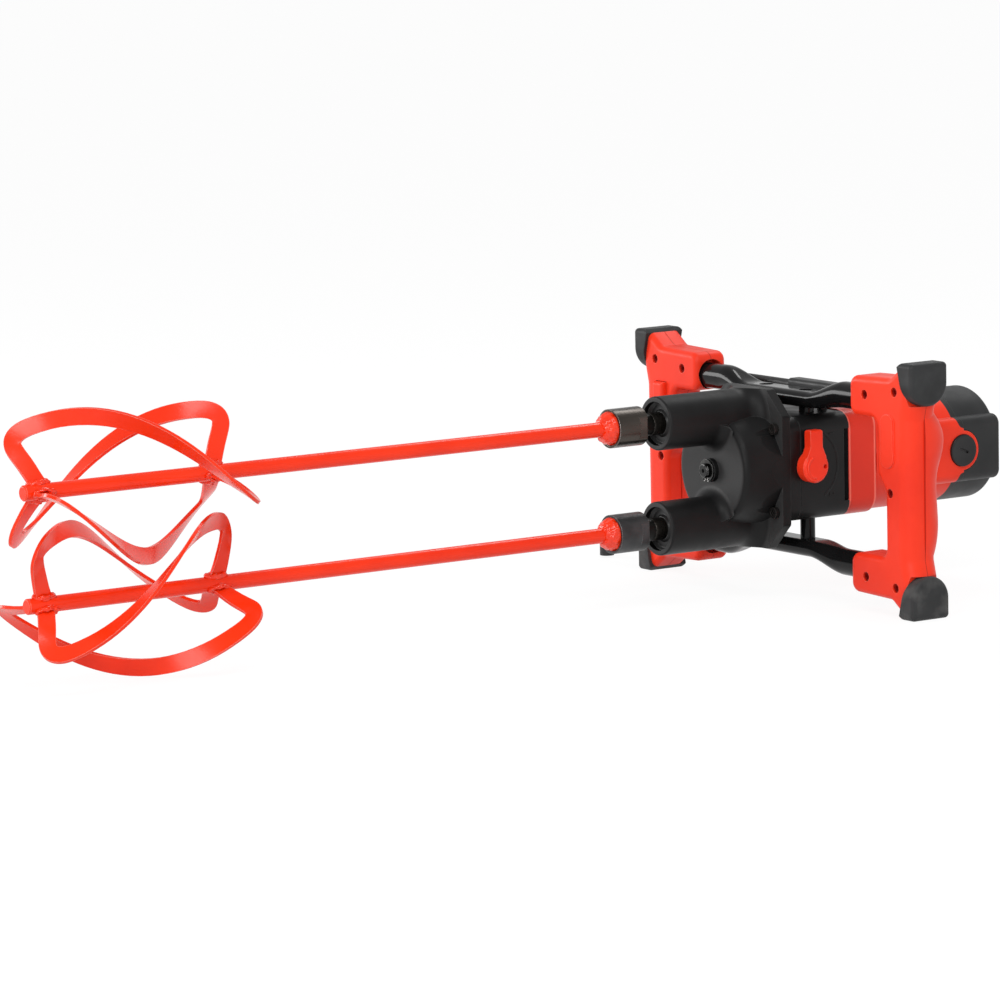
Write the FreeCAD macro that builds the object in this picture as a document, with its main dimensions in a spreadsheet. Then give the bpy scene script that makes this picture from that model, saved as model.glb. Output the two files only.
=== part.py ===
import FreeCAD, Part
import Sketcher
import math
import os
from types import SimpleNamespace

from FreeCAD import Placement, Rotation, Vector

# Twin paddle mixing drill, lying on its side as it is put down.
# X runs along the spindles from the paddles to the motor, Z is up, Y runs from one handle to the other.
# The pieces are laid out from the joint between the two gear housings, on the line midway between the
# spindles, and then moved so that the origin is under the middle of the whole drill.

doc = FreeCAD.newDocument("twin_paddle_mixer")

# Driving dimensions in millimetres, and angles in degrees
SIZES = {
    # layout
    "spindle_spacing": 84, "frame_drop": 6.2, "handle_setback": 18, "handle_depth": 31,
    "running_gap": 0.05, "socket_gap": 0.15, "free_gap": 0.5, "overrun": 2,
    # paddles
    "rod_diameter": 12, "rod_length": 550, "rod_seat": 22, "rod_chamfer": 1,
    "blade_setback": 15, "blade_root_span": 148, "blade_span": 178, "blade_end_radius": 45,
    "blade_radius": 56.3,
    "blade_corner": 15, "blade_width": 13, "blade_thickness": 2.8, "blade_sink": 3,
    # couplings and spindles
    "coupling_diameter": 31, "coupling_length": 38, "coupling_chamfer": 2, "coupling_gap": 7,
    "mouth_diameter": 21, "mouth_depth": 4, "wrench_flat": 26, "wrench_length": 12,
    "stud_diameter": 14, "stud_length": 14, "shank_diameter": 18, "gear_seat_diameter": 15,
    # front gear housing
    "snout_length": 97, "snout_diameter": 43, "snout_lip": 1.5, "pocket_floor": 18,
    "disc_depth": 42, "disc_diameter": 88, "disc_round": 6, "drum_growth": 7, "housing_wall": 4,
    "hub_diameter": 19, "hub_height": 4, "flange_thickness": 8, "flange_lip": 0.5, "flange_slope": 20.5,
    "flange_round": 3, "web_round": 9, "skirt_round": 13, "pocket_reach": 28.4, "pocket_waist": 35.8,
    "pocket_top": 57, "pocket_middle": 32, "pocket_low": 9,
    "seal_diameter": 35, "seal_width": 6, "seal_lip": 2, "seal_recess": 4, "bearing_diameter": 32,
    "bearing_width": 10,
    # gear train
    "gear_width": 7, "gear_step": 9, "gear_setback": 37, "tooth_backlash": 0.5,
    "axle_diameter": 16, "nose_diameter": 12, "nose_length": 5, "circlip_diameter": 18, "circlip_width": 1.4,
    "circlip_gap": 6,
    "idler_pin_diameter": 6, "plate_thickness": 6, "wheel_clearance": 0.725, "layshaft_clearance": 0.225,
    "low_gear_start": 8, "wheel_start": 37, "cluster_hub_diameter": 25,
    "sleeve_diameter": 24, "sleeve_width": 8, "sleeve_groove_width": 3.4, "sleeve_groove_depth": 3,
    "shift_travel": 3, "fork_thickness": 2.4, "fork_rod_diameter": 6, "fork_rod_inset": 10,
    # rear gear case
    "case_length": 59, "case_width": 96, "case_height": 84, "case_corner": 12, "case_wall": 4,
    "vent_width": 5, "vent_height": 58, "vent_depth": 5, "joint_setback": 10, "joint_groove": 0.6,
    "flange_screw_inset": 6, "screw_diameter": 5, "screw_head_diameter": 9, "screw_head_height": 4,
    "screw_grip": 12,
    # gear selector
    "knob_setback": 18.5, "knob_rise": 2, "knob_diameter": 25, "knob_height": 10, "knob_chamfer": 1.5,
    "lever_width": 12, "lever_length": 30, "lever_height": 8, "lever_root": 8, "lever_neck": 16,
    "lever_spread": 9.5, "lever_round": 2, "knob_stem_diameter": 10, "knob_gap": 0.4, "knob_hole_diameter": 4,
    "knob_hole_reach": 8.5, "knob_hole_depth": 4, "scale_radius": 29, "scale_width": 1.5,
    "scale_height": 0.4, "scale_start": 15,
    # motor
    "band_length": 30, "band_width": 93, "band_height": 86, "band_corner": 16, "band_round": 3,
    "motor_length": 119, "motor_diameter": 92, "motor_wall": 3.5, "bulge_height": 53,
    "bulge_proud": 1.3, "bulge_round": 8, "bulge_start": 70, "tongue_diameter": 32.5, "brush_setback": 1,
    "brush_cap_diameter": 26, "brush_cap_height": 4, "brush_cap_thread": 20, "brush_slot": 2.4,
    "brush_slot_length": 17, "brush_side": 9, "brush_gap": 0.1, "brush_holder_wall": 2.5, "holder_gap": 2,
    "stator_length": 56, "stator_start": 26, "stator_bore": 50, "rotor_gap": 1, "shaft_diameter": 10,
    "commutator_diameter": 28, "commutator_length": 22, "fan_diameter": 76, "fan_width": 11, "fan_start": 6,
    "fan_blade": 2, "fan_hub_diameter": 26, "coil_reach": 6, "coil_inset": 3.5, "coil_wall_gap": 7,
    "motor_bearing_diameter": 24, "motor_bearing_width": 8,
    # rear cover
    "cover_length": 38.5, "cover_round": 5, "cover_wall": 3.5, "cover_floor": 13, "cover_edge": 3,
    "cover_screw_spread": 36, "cover_screw_rise": 16, "cover_screw_length": 8,
    # frame
    "tube_width": 22, "tube_height": 21, "tube_arm_rise": 67, "tube_mid_rise": 60,
    "flat_width": 27, "flat_height": 13, "flat_half_length": 40, "bend_length": 38, "post_diameter": 12,
    "post_spread": 26, "bolt_diameter": 6, "bolt_head_diameter": 11, "bolt_head_height": 3.5,
    "bolt_sink": 1.5,
    # handles
    "arm_inner": 100, "arm_low": 54.5, "arm_top": 86, "grip_inner": 144, "grip_outer": 175,
    "guard_inner": 134,
    "guard_low": 12, "shoulder_reach": 150, "shoulder_lift": 1.5, "frame_height": 201.6, "cap_outer": 182.5,
    "cap_length": 18, "cap_height": 34, "cap_lean": 8, "cap_flare": 3, "cap_flare_length": 12,
    "cap_proud": 3, "cap_round": 3.5, "cap_seat_drop": 3, "handle_round": 5, "corner_round": 8,
    "grip_round": 13.5,
    "swell_height": 12.5, "swell_bulge": 1.5, "swell_top": 64, "swell_peak": 43, "swell_waist": 14,
    "swell_low": 58,
    "socket_depth": 36, "socket_lead": 6, "mouth_gap": 1.6, "mouth_lift": 1, "mouth_reach": 8,
    "handle_thread_depth": 10, "handle_screw_gap": 0.1, "screw_sink": 1.5,
    "handle_screw_diameter": 4, "handle_screw_head": 7, "handle_screw_recess": 3, "arm_screw_inner": 120,
    "arm_screw_outer": 157, "arm_screw_rise": 72.2, "arm_screw_lift": 5, "grip_screw_reach": 151,
    "grip_screw_drop": 3, "strip_width": 15, "strip_height": 1.5, "trigger_setback": 8,
    # switch and leads
    "trigger_width": 14, "trigger_length": 42, "trigger_reach": 4.5, "trigger_travel": 4,
    "trigger_round": 2.5,
    "switch_width": 20, "switch_length": 52, "switch_depth": 9, "lock_diameter": 9, "lock_setback": 6,
    "lock_reach": 4,
    "lock_travel": 2.5, "lock_height": 30, "lead_diameter": 8, "lead_setback": 20.5, "lead_rise": 65,
    "lead_bend": 8,
    "lead_exit": 112, "lead_entry": 20, "lead_sink": 3.5, "lead_cover_length": 66, "lead_cover_start": 15,
    "lead_cover_width": 14, "lead_cover_height": 12, "lead_cover_round": 3,
    "gland_diameter": 16, "gland_mouth_diameter": 12, "gland_reach": 55, "gland_bend": 14, "gland_height": 77,
    "gland_drop": 8, "gland_rib": 1, "gland_rib_pitch": 6, "mains_diameter": 8,
}

sheet = doc.addObject("Spreadsheet::Sheet", "Sizes")
for row, (alias, value) in enumerate(SIZES.items(), start=1):
    sheet.set("A%d" % row, alias)
    sheet.set("B%d" % row, str(value))
    sheet.setAlias("B%d" % row, alias)
doc.recompute()


class Formula:
    """A size worked out from the sheet: the text that a property is bound to, and its value now."""

    def __init__(self, text, value):
        self.text = text
        self.value = value

    def joined(self, sign, other, value):
        return Formula("(%s %s %s)" % (self.text, sign, as_formula(other).text), value)

    def __add__(self, other):
        return self.joined("+", other, self.value + as_formula(other).value)

    def __sub__(self, other):
        return self.joined("-", other, self.value - as_formula(other).value)

    def __mul__(self, other):
        return self.joined("*", other, self.value * as_formula(other).value)

    def __truediv__(self, other):
        return self.joined("/", other, self.value / as_formula(other).value)

    def __neg__(self):
        return as_formula(0) - self

    def __float__(self):
        return float(self.value)


def as_formula(number):
    if isinstance(number, Formula):
        return number
    return Formula(repr(number), number)


def bind(item, **properties):
    for name, formula in properties.items():
        item.setExpression(name.replace("__", "."), as_formula(formula).text)


s = SimpleNamespace(**{alias: Formula("Sizes." + alias, sheet.get(alias)) for alias in SIZES})
ZERO = as_formula(0)
RIB_LEAD_SHARE = 0.5

# Stations along X, from the joint between the gear housings
snout_face = -s.snout_length
coupling_rear = snout_face - s.coupling_gap
coupling_front = coupling_rear - s.coupling_length
rod_rear = coupling_front + s.rod_seat
rod_tip = rod_rear - s.rod_length
blade_middle = rod_tip + s.blade_setback + s.blade_root_span / 2
disc_face = -s.disc_depth
handle_front = s.handle_setback
tube_x = s.handle_setback + s.handle_depth / 2
handle_rear = s.handle_setback + s.handle_depth
case_rear = s.case_length
motor_rear = s.case_length + s.motor_length
drill_rear = motor_rear + s.cover_length
brush_x = motor_rear - s.brush_setback
sleeve_start = s.low_gear_start + s.gear_width + s.free_gap
sleeve_end = sleeve_start + s.sleeve_width
high_gear_start = sleeve_end + s.shift_travel + s.free_gap
axle_tail = high_gear_start + s.gear_width + s.free_gap
pinion_start = axle_tail + s.free_gap

# Heights and sides
half_spacing = s.spindle_spacing / 2
frame_z = -s.frame_drop
floor_z = frame_z - s.frame_height / 2
gland_y = s.cap_outer + s.gland_reach + s.gland_bend + s.gland_mouth_diameter / 2
drill_left = -s.cap_outer
half_frame = s.frame_height / 2
cap_reach = s.cap_outer - s.cap_length
cap_low = half_frame - s.cap_height
cap_seat_low = cap_reach + s.cap_lean
bulge_width = s.motor_diameter + s.bulge_proud * 2

# Paddle blades: each is a bow of flat strip, twisted about its rod and welded on at both ends
BLADES = 3
BLADE_TWIST = 123.5
UPPER_BLADE_ANGLE = 41.4
LOWER_BLADE_ANGLE = -52.1
ARM_STEPS = 4
CORNER_STEPS = 4
RUN_STEPS = 9


def blade_path():
    """Points along the middle of the strip, as places along X and radii.

    Each end has a straight arm and a round corner, and the run between the corners is bowed outwards.
    """
    half_span = float(s.blade_span) / 2
    end_radius = float(s.blade_end_radius)
    bow = float(s.blade_radius) - end_radius
    corner = float(s.blade_corner)

    def on_run(x):
        return Vector(x, end_radius + bow * (1 - (x / half_span) ** 2), 0)

    root = Vector(-float(s.blade_root_span) / 2, float(s.blade_sink), 0)
    knee = on_run(-half_span)
    arm_end = knee + (root - knee).normalize() * corner
    run_start = on_run(corner - half_span)
    half = [root + (arm_end - root) * (number / ARM_STEPS) for number in range(ARM_STEPS)]
    for number in range(CORNER_STEPS):
        share = number / CORNER_STEPS
        half.append(arm_end * (1 - share) ** 2 + knee * (2 * share * (1 - share)) + run_start * share ** 2)
    half += [on_run(run_start.x * (1 - number / RUN_STEPS)) for number in range(RUN_STEPS + 1)]
    mirrored = [Vector(-point.x, point.y, 0) for point in reversed(half[:-1])]
    return half + mirrored


def blade(angle, hand, height):
    """One twisted strip: rectangles set square to its path on the helical surface, joined by a loft."""
    twist_rate = hand * math.radians(BLADE_TWIST) / float(s.blade_root_span)
    half_width = float(s.blade_width) / 2
    half_thickness = float(s.blade_thickness) / 2
    path = blade_path()
    sections = []
    for number, spot in enumerate(path):
        before = path[max(number - 1, 0)]
        after = path[min(number + 1, len(path) - 1)]
        turn = math.radians(angle) + twist_rate * spot.x
        outward = Vector(0, -math.sin(turn), math.cos(turn))
        around = Vector(0, -math.cos(turn), -math.sin(turn))
        lengthways = Vector(1, 0, 0) + around * (spot.y * twist_rate)
        step = after - before
        forward = (lengthways * step.x + outward * step.y).normalize()
        square = lengthways.cross(outward).normalize()
        across = square.cross(forward).normalize()
        centre = Vector(float(blade_middle) + spot.x, 0, float(height)) + outward * spot.y
        corners = []
        for side, face in ((1, 1), (1, -1), (-1, -1), (-1, 1)):
            corners.append(centre + across * (side * half_width) + square * (face * half_thickness))
        sections.append(Part.makePolygon(corners + corners[:1]))
    return Part.makeLoft(sections, True, False)


def blade_set(angle, hand, height):
    return [blade(angle + number * 360 / BLADES, hand, height) for number in range(BLADES)]


upper_blades = blade_set(UPPER_BLADE_ANGLE, 1, half_spacing)
lower_blades = blade_set(LOWER_BLADE_ANGLE, -1, -half_spacing)
blade_tips = [shape.optimalBoundingBox().XMin for shape in upper_blades + lower_blades]
paddle_tip = as_formula(min(blade_tips))

# The origin lies on the floor, under the middle of the drill
shift_x = -(paddle_tip + drill_rear) / 2
shift_y = -(gland_y + drill_left) / 2
shift_z = -floor_z
SHIFT = Vector(float(shift_x), float(shift_y), float(shift_z))

ALONG_X = Rotation(Vector(0, 1, 0), 90)
ALONG_Y = Rotation(Vector(1, 0, 0), -90)
ALONG_Z = Rotation()
pieces = {}


def piece(label, item):
    """Names a finished sub-part."""
    item.Label = label
    pieces[label] = item
    return item


def place(item, x=ZERO, y=ZERO, z=ZERO, turn=ALONG_Z):
    """Sets a piece by its place in the layout and moves it to the drill's own origin."""
    item.Placement = Placement(Vector(), turn)
    bind(item, Placement__Base__x=as_formula(x) + shift_x, Placement__Base__y=as_formula(y) + shift_y,
         Placement__Base__z=as_formula(z) + shift_z)
    return item


def bar(name, diameter, length, x=ZERO, y=ZERO, z=ZERO, turn=ALONG_X):
    """A round bar that starts at the given point."""
    item = doc.addObject("Part::Cylinder", name)
    bind(item, Radius=as_formula(diameter) / 2, Height=length)
    return place(item, x, y, z, turn)


def cone(name, diameter, end_diameter, length, x=ZERO, y=ZERO, z=ZERO, turn=ALONG_X):
    item = doc.addObject("Part::Cone", name)
    bind(item, Radius1=as_formula(diameter) / 2, Radius2=as_formula(end_diameter) / 2, Height=length)
    return place(item, x, y, z, turn)


def block(name, low, high):
    """A box between two corners."""
    item = doc.addObject("Part::Box", name)
    spans = [as_formula(b) - as_formula(a) for a, b in zip(low, high)]
    bind(item, Length=spans[0], Width=spans[1], Height=spans[2])
    return place(item, *low)


def centred_block(name, x, length, width, height, y=ZERO, z=ZERO):
    """A box that starts at x and is centred on y and z."""
    width = as_formula(width)
    height = as_formula(height)
    return block(name, (x, as_formula(y) - width / 2, as_formula(z) - height / 2),
                 (as_formula(x) + length, as_formula(y) + width / 2, as_formula(z) + height / 2))


def fuse(name, *items):
    item = doc.addObject("Part::MultiFuse", name)
    item.Shapes = list(items)
    item.Refine = True
    return item


def cut(name, base, *tools):
    item = doc.addObject("Part::Cut", name)
    item.Base = base
    item.Tool = tools[0] if len(tools) == 1 else fuse(name + "_tools", *tools)
    item.Refine = True
    return item


def common(name, first, second):
    item = doc.addObject("Part::Common", name)
    item.Base = first
    item.Tool = second
    return item


def side_span(side, near, far):
    """The lower and the upper limit of a span from near to far, on one side of the middle."""
    sign = as_formula(side)
    return (sign * near, sign * far) if side > 0 else (sign * far, sign * near)


def edge_ends(edge):
    """The end points of an edge, back in the layout's coordinates."""
    return [vertex.Point - SHIFT for vertex in edge.Vertexes]


def runs_along(edge, axis):
    """True for a straight edge along a coordinate axis, 0 to 2."""
    if edge.Curve.TypeId != "Part::GeomLine":
        return False
    direction = edge.Curve.Direction
    return abs(abs(direction[axis]) - 1) < TOUCH


def edge_numbers(item, wanted):
    doc.recompute()
    return [number for number, edge in enumerate(item.Shape.Edges, start=1) if wanted(edge)]


def rounded(name, base, radius, wanted, kind="Part::Fillet"):
    """Rounds or chamfers the edges of a piece that the test picks."""
    numbers = edge_numbers(base, wanted)
    item = doc.addObject(kind, name)
    item.Base = base
    item.Edges = [(number, float(radius), float(radius)) for number in numbers]
    return item


def at_x(x):
    """Picks the edges that lie in one plane across the drill."""
    station = float(x)
    return lambda edge: all(abs(point.x - station) < TOUCH for point in edge_ends(edge))


def along_x(edge):
    return runs_along(edge, 0)


TOUCH = 1e-4


def profile_sketch(body, name, plane, outline, offset=ZERO):
    """A closed outline of straight edges in one of the body's own planes, each corner bound to the sheet."""
    sketch = body.newObject("Sketcher::SketchObject", name)
    origin = [feature for feature in body.Origin.OriginFeatures if feature.Role == plane][0]
    sketch.AttachmentSupport = [(origin, "")]
    sketch.MapMode = "FlatFace"
    bind(sketch, AttachmentOffset__Base__z=offset)
    corners = [(as_formula(a), as_formula(b)) for a, b in outline]
    spots = [Vector(float(a), float(b), 0) for a, b in corners]
    count = len(spots)
    for number in range(count):
        sketch.addGeometry(Part.LineSegment(spots[number], spots[(number + 1) % count]), False)
    for number in range(count):
        following = (number + 1) % count
        sketch.addConstraint(Sketcher.Constraint("Coincident", number, 2, following, 1))
    for number, (across, up) in enumerate(corners):
        for direction, formula in (("DistanceX", across), ("DistanceY", up)):
            index = sketch.addConstraint(Sketcher.Constraint(direction, -1, 1, number, 1, float(formula)))
            sketch.setExpression("Constraints[%d]" % index, formula.text)
    return sketch


def turned(name, profile, y=ZERO, z=ZERO):
    """A turned piece: corners of (place along X, radius) spun about an axis along X."""
    body = doc.addObject("PartDesign::Body", name)
    sketch = profile_sketch(body, name + "_profile", "XZ_Plane", profile)
    spin = body.newObject("PartDesign::Revolution", name + "_turning")
    spin.Profile = sketch
    spin.ReferenceAxis = (sketch, ["H_Axis"])
    spin.Angle = 360
    return place(body, ZERO, y, z)


def ring(name, start, width, bore, diameter, y=ZERO, z=ZERO):
    """A plain ring with its axis along X."""
    inner = as_formula(bore) / 2
    outer = as_formula(diameter) / 2
    end = as_formula(start) + width
    return turned(name, [(start, inner), (end, inner), (end, outer), (start, outer)], y, z)


def padded(name, plane, outline, start, depth):
    """A plate: an outline in a plane, drawn out square to it."""
    body = doc.addObject("PartDesign::Body", name)
    sketch = profile_sketch(body, name + "_outline", plane, outline, start)
    pad = body.newObject("PartDesign::Pad", name + "_pad")
    pad.Profile = sketch
    bind(pad, Length=depth)
    return place(body)


def built(name, shape):
    """A piece whose form is worked out in the layout's coordinates."""
    item = doc.addObject("Part::Feature", name)
    item.Shape = shape
    item.Placement = Placement(SHIFT, Rotation())
    return item


# Paddles: a rod with its three blades, one paddle of each hand
def paddle(label, shapes, height):
    half_rod = s.rod_diameter / 2
    rod = turned(label + "_rod", [(rod_tip, ZERO), (rod_tip, half_rod - s.rod_chamfer),
                                  (rod_tip + s.rod_chamfer, half_rod), (rod_rear, half_rod),
                                  (rod_rear, ZERO)],
                 ZERO, height)
    blades = [built("%s_blade_%d" % (label, number), shape) for number, shape in enumerate(shapes)]
    return piece(label, fuse(label, rod, *blades))


paddle("paddle_upper", upper_blades, half_spacing)
paddle("paddle_lower", lower_blades, -half_spacing)


# Couplings: steel nuts with a welded mouth for the rod, wrench flats behind and a thread for the spindle
def coupling(label, height):
    outer = s.coupling_diameter / 2
    mouth_end = coupling_front + s.mouth_depth
    rod_bore = s.rod_diameter / 2 + s.running_gap
    stud_bore = s.stud_diameter / 2 + s.running_gap
    stud_front = coupling_rear - s.stud_length
    nut = turned(label + "_nut", [
        (coupling_front, s.mouth_diameter / 2), (mouth_end, s.mouth_diameter / 2), (mouth_end, rod_bore),
        (stud_front, rod_bore), (stud_front, stud_bore), (coupling_rear, stud_bore),
        (coupling_rear, outer - s.coupling_chamfer), (coupling_rear - s.coupling_chamfer, outer),
        (coupling_front + s.coupling_chamfer, outer), (coupling_front, outer - s.coupling_chamfer)], ZERO,
        height)
    flats = []
    for side in (-1, 1):
        low, high = side_span(side, s.wrench_flat / 2, outer + s.overrun)
        flats.append(block("%s_flat_%d" % (label, side + 2),
                           (coupling_rear - s.wrench_length, low, as_formula(height) - outer - s.overrun),
                           (coupling_rear + s.overrun, high, as_formula(height) + outer + s.overrun)))
    return piece(label, cut(label, nut, *flats))


# Spindles: a threaded stud, the shank that runs in the seal and two bearings, and the seat of the gear
snout_bore_end = disc_face + s.housing_wall
spindle_rear = -s.pocket_floor - s.free_gap


def spindle(label, height):
    stud_front = coupling_rear - s.stud_length + s.free_gap
    return piece(label, turned(label, [
        (stud_front, ZERO), (stud_front, s.stud_diameter / 2), (coupling_rear, s.stud_diameter / 2),
        (coupling_rear, s.shank_diameter / 2), (snout_bore_end, s.shank_diameter / 2),
        (snout_bore_end, s.gear_seat_diameter / 2), (spindle_rear, s.gear_seat_diameter / 2),
        (spindle_rear, ZERO)], ZERO, height))


SIDES = (("upper", half_spacing), ("lower", -half_spacing))
for side, height in SIDES:
    coupling("coupling_" + side, height)
    spindle("spindle_" + side, height)

# Seals and bearings of the spindles, pressed into the snouts
seal_start = snout_face + s.seal_recess
seal_end = seal_start + s.seal_width
front_bearing_start = seal_end
rear_bearing_start = snout_bore_end - s.bearing_width
running_bore = s.shank_diameter + s.running_gap * 2
seals = []
races = []
for side, height in SIDES:
    lip = s.seal_lip
    inner = running_bore / 2
    outer = s.seal_diameter / 2 - s.running_gap
    web = (inner + outer) / 2
    seals.append(turned("seal_" + side, [
        (seal_start, inner), (seal_end, inner), (seal_end, outer), (seal_start, outer),
        (seal_start + lip, web + lip), (seal_start + lip, web - lip)], ZERO, height))
    races += [ring("%s_race_%d" % (side, number), start, s.bearing_width, running_bore,
                   s.bearing_diameter - s.running_gap * 2, ZERO, height)
              for number, start in enumerate((front_bearing_start, rear_bearing_start))]
piece("spindle_bearings", fuse("spindle_bearings", *races))
piece("spindle_seals", fuse("spindle_seals", *seals))

# Front gear housing: one casting with two snouts, a round gear chamber with a hub and an eight-sided flange
UPPER_AXLE_TEETH, UPPER_SPINDLE_TEETH = 28, 20
LOWER_AXLE_TEETH, LOWER_SPINDLE_TEETH, IDLER_TEETH = 21, 15, 10
spindle_module = s.spindle_spacing / (UPPER_AXLE_TEETH + UPPER_SPINDLE_TEETH)
module_value = float(spindle_module)
upper_gear_tip = spindle_module * (UPPER_SPINDLE_TEETH + 2)
flange_face = -s.flange_thickness
flange_rise = half_spacing + s.snout_diameter / 2 + s.flange_lip
half_case = s.case_width / 2


def eight_sided(name, start, depth):
    """The flange's outline, drawn out along X: sloped at its corners and tall enough to back both snouts."""
    side = flange_rise - s.flange_slope
    top = half_case - s.flange_slope
    quarter = [(half_case, side), (top, flange_rise)]
    outline = quarter + [(-y, z) for y, z in reversed(quarter)]
    outline += [(-y, -z) for y, z in quarter] + [(y, -z) for y, z in reversed(quarter)]
    return padded(name, "YZ_Plane", outline, start, depth)


def hollow_blend(name, diameter, radius, end, z):
    """A concave round where a snout runs into a wall that faces forward at end."""
    reach = as_formula(diameter) + as_formula(radius) * 2
    blank = bar(name + "_blank", reach, radius, end - radius, ZERO, z)
    scoop = doc.addObject("Part::Torus", name + "_scoop")
    bind(scoop, Radius1=reach / 2, Radius2=radius)
    return cut(name, blank, place(scoop, end - radius, ZERO, z, ALONG_X))


drum_end_diameter = s.disc_diameter + s.drum_growth * 2
drum = cone("chamber_drum", s.disc_diameter, drum_end_diameter, s.disc_depth, disc_face)
drum = rounded("chamber_rounded", drum, s.disc_round, at_x(disc_face))
flares = [drum]
webs = []
snouts = []
hollows = [bar("gear_chamber", s.disc_diameter - s.housing_wall * 2, s.disc_depth, snout_bore_end),
           bar("hub_bore", s.nose_diameter + s.running_gap * 2, s.disc_depth,
               disc_face - s.hub_height - s.overrun)]
for side, height in SIDES:
    snout = bar("snout_" + side, s.snout_diameter, s.snout_length - s.flange_thickness, snout_face, ZERO,
                height)
    snouts.append(rounded("snout_lip_" + side, snout, s.snout_lip, at_x(snout_face)))
    flares.append(hollow_blend("snout_skirt_" + side, s.snout_diameter, s.skirt_round, flange_face, height))
    webs.append(hollow_blend("snout_web_" + side, s.snout_diameter, s.web_round, disc_face, height))
    hollows += [
        bar("seal_seat_" + side, s.seal_diameter, s.seal_recess + s.seal_width + s.overrun,
            snout_face - s.overrun, ZERO, height),
        bar("bearing_seat_" + side, s.bearing_diameter, snout_bore_end - seal_end + s.overrun, seal_end,
            ZERO, height),
        bar("gear_pocket_" + side, upper_gear_tip + s.free_gap * 2, -s.pocket_floor - snout_bore_end,
            snout_bore_end, ZERO, height)]
flare = common("flare", fuse("flare_forms", *flares), eight_sided("flare_bounds", disc_face, s.disc_depth))
web_reach = s.web_round + s.disc_round
web = common("webs", fuse("web_forms", *webs),
             bar("web_bounds", s.disc_diameter, web_reach + s.overrun, disc_face - web_reach))
flange = eight_sided("flange_plate", flange_face, s.flange_thickness)
flange = rounded("flange_rounded", flange, s.flange_round, along_x)
hub = bar("hub_boss", s.hub_diameter, s.hub_height + s.disc_round, disc_face - s.hub_height)
screw_y = half_case - s.flange_screw_inset - s.screw_diameter / 2
screw_z = s.case_height / 2 - s.flange_screw_inset - s.screw_diameter / 2
CORNERS = ((-1, -1), (-1, 1), (1, -1), (1, 1))
screw_spots = [(as_formula(a) * screw_y, as_formula(b) * screw_z) for a, b in CORNERS]
head_pocket = s.screw_head_diameter + s.free_gap * 2
room_y = half_case + s.overrun
room_z = flange_rise + s.overrun
pocket_outline = [(s.pocket_reach, room_z), (s.pocket_reach, s.pocket_top), (s.pocket_waist, s.pocket_middle),
                  (room_y, s.pocket_low), (room_y, room_z)]
pockets = []
for number, (side, up) in enumerate(CORNERS):
    outline = [(as_formula(side) * y, as_formula(up) * z) for y, z in pocket_outline]
    pockets.append(padded("screw_pocket_%d" % number, "YZ_Plane", outline, disc_face - s.overrun,
                          s.disc_depth + s.overrun - s.flange_thickness))
for number, (y, z) in enumerate(screw_spots):
    hollows.append(bar("flange_hole_%d" % number, s.screw_diameter + s.running_gap * 2,
                       s.flange_thickness + s.overrun * 2, flange_face - s.overrun, y, z))
    hollows.append(bar("flange_head_room_%d" % number, head_pocket, s.disc_depth, flange_face - s.disc_depth,
                       y, z))
body = cut("housing_body", flare, *pockets)
casting = fuse("housing_casting", body, web, flange, hub, *snouts)
piece("front_gear_housing", cut("front_gear_housing", casting, *hollows))


# Screws along X with a round socket head and a plain shank
def screw(name, head_start, y, z, diameter, head_diameter, head_height, length, way=1):
    """way is 1 for a head in front of its shank and -1 for one behind it."""
    shank = as_formula(diameter) / 2
    head = as_formula(head_diameter) / 2
    shank_start = head_start + as_formula(way) * head_height
    end = shank_start + as_formula(way) * length
    socket = shank - s.running_gap
    socket_end = head_start + as_formula(way) * (as_formula(head_height) / 2)
    return turned(name, [(head_start, socket), (head_start, head), (shank_start, head), (shank_start, shank),
                         (end, shank), (end, ZERO), (socket_end, ZERO), (socket_end, socket)], y, z)


flange_screw_length = s.flange_thickness + s.screw_grip
piece("flange_screws", fuse("flange_screws", *[
    screw("flange_screw_%d" % number, -s.flange_thickness - s.screw_head_height, y, z, s.screw_diameter,
          s.screw_head_diameter, s.screw_head_height, flange_screw_length)
    for number, (y, z) in enumerate(screw_spots)]))


# Gears: straight teeth with flat flanks, cut on a blank with a bore
def gear_shape(teeth, module, start, width, y=ZERO, z=ZERO, phase=0.0, bore_diameter=ZERO):
    """phase turns the gear by that share of one tooth; a bore of 0 leaves it solid."""
    pitch = module * teeth / 2
    root = pitch - module * ROOT_SHARE
    tip = pitch + module * TIP_SHARE
    step = 2 * math.pi / teeth
    slack = float(s.tooth_backlash) / 2
    root_half = (module * math.pi * ROOT_HALF_SHARE - slack) / root
    tip_half = (module * math.pi * TIP_HALF_SHARE - slack) / tip
    corners = []
    for number in range(teeth):
        middle = (number + phase) * step
        for radius, angle in ((root, -root_half), (tip, -tip_half), (tip, tip_half), (root, root_half)):
            turn = middle + angle
            corners.append(Vector(float(start), float(y) + radius * math.sin(turn),
                                  float(z) + radius * math.cos(turn)))
    blank = Part.Face(Part.makePolygon(corners + corners[:1])).extrude(Vector(float(width), 0, 0))
    if not float(bore_diameter):
        return blank
    bore = Part.makeCylinder(float(bore_diameter) / 2, float(width) + 2 * float(s.overrun),
                             Vector(float(start) - float(s.overrun), float(y), float(z)), Vector(1, 0, 0))
    return blank.cut(bore)


ROOT_SHARE = 1.2
TIP_SHARE = 0.85
ROOT_HALF_SHARE = 0.36
TIP_HALF_SHARE = 0.13
upper_plane = -s.gear_setback
lower_plane = upper_plane + s.gear_step
seat_bore = s.gear_seat_diameter + s.running_gap * 2
axle_bore = s.axle_diameter + s.running_gap * 2


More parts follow.
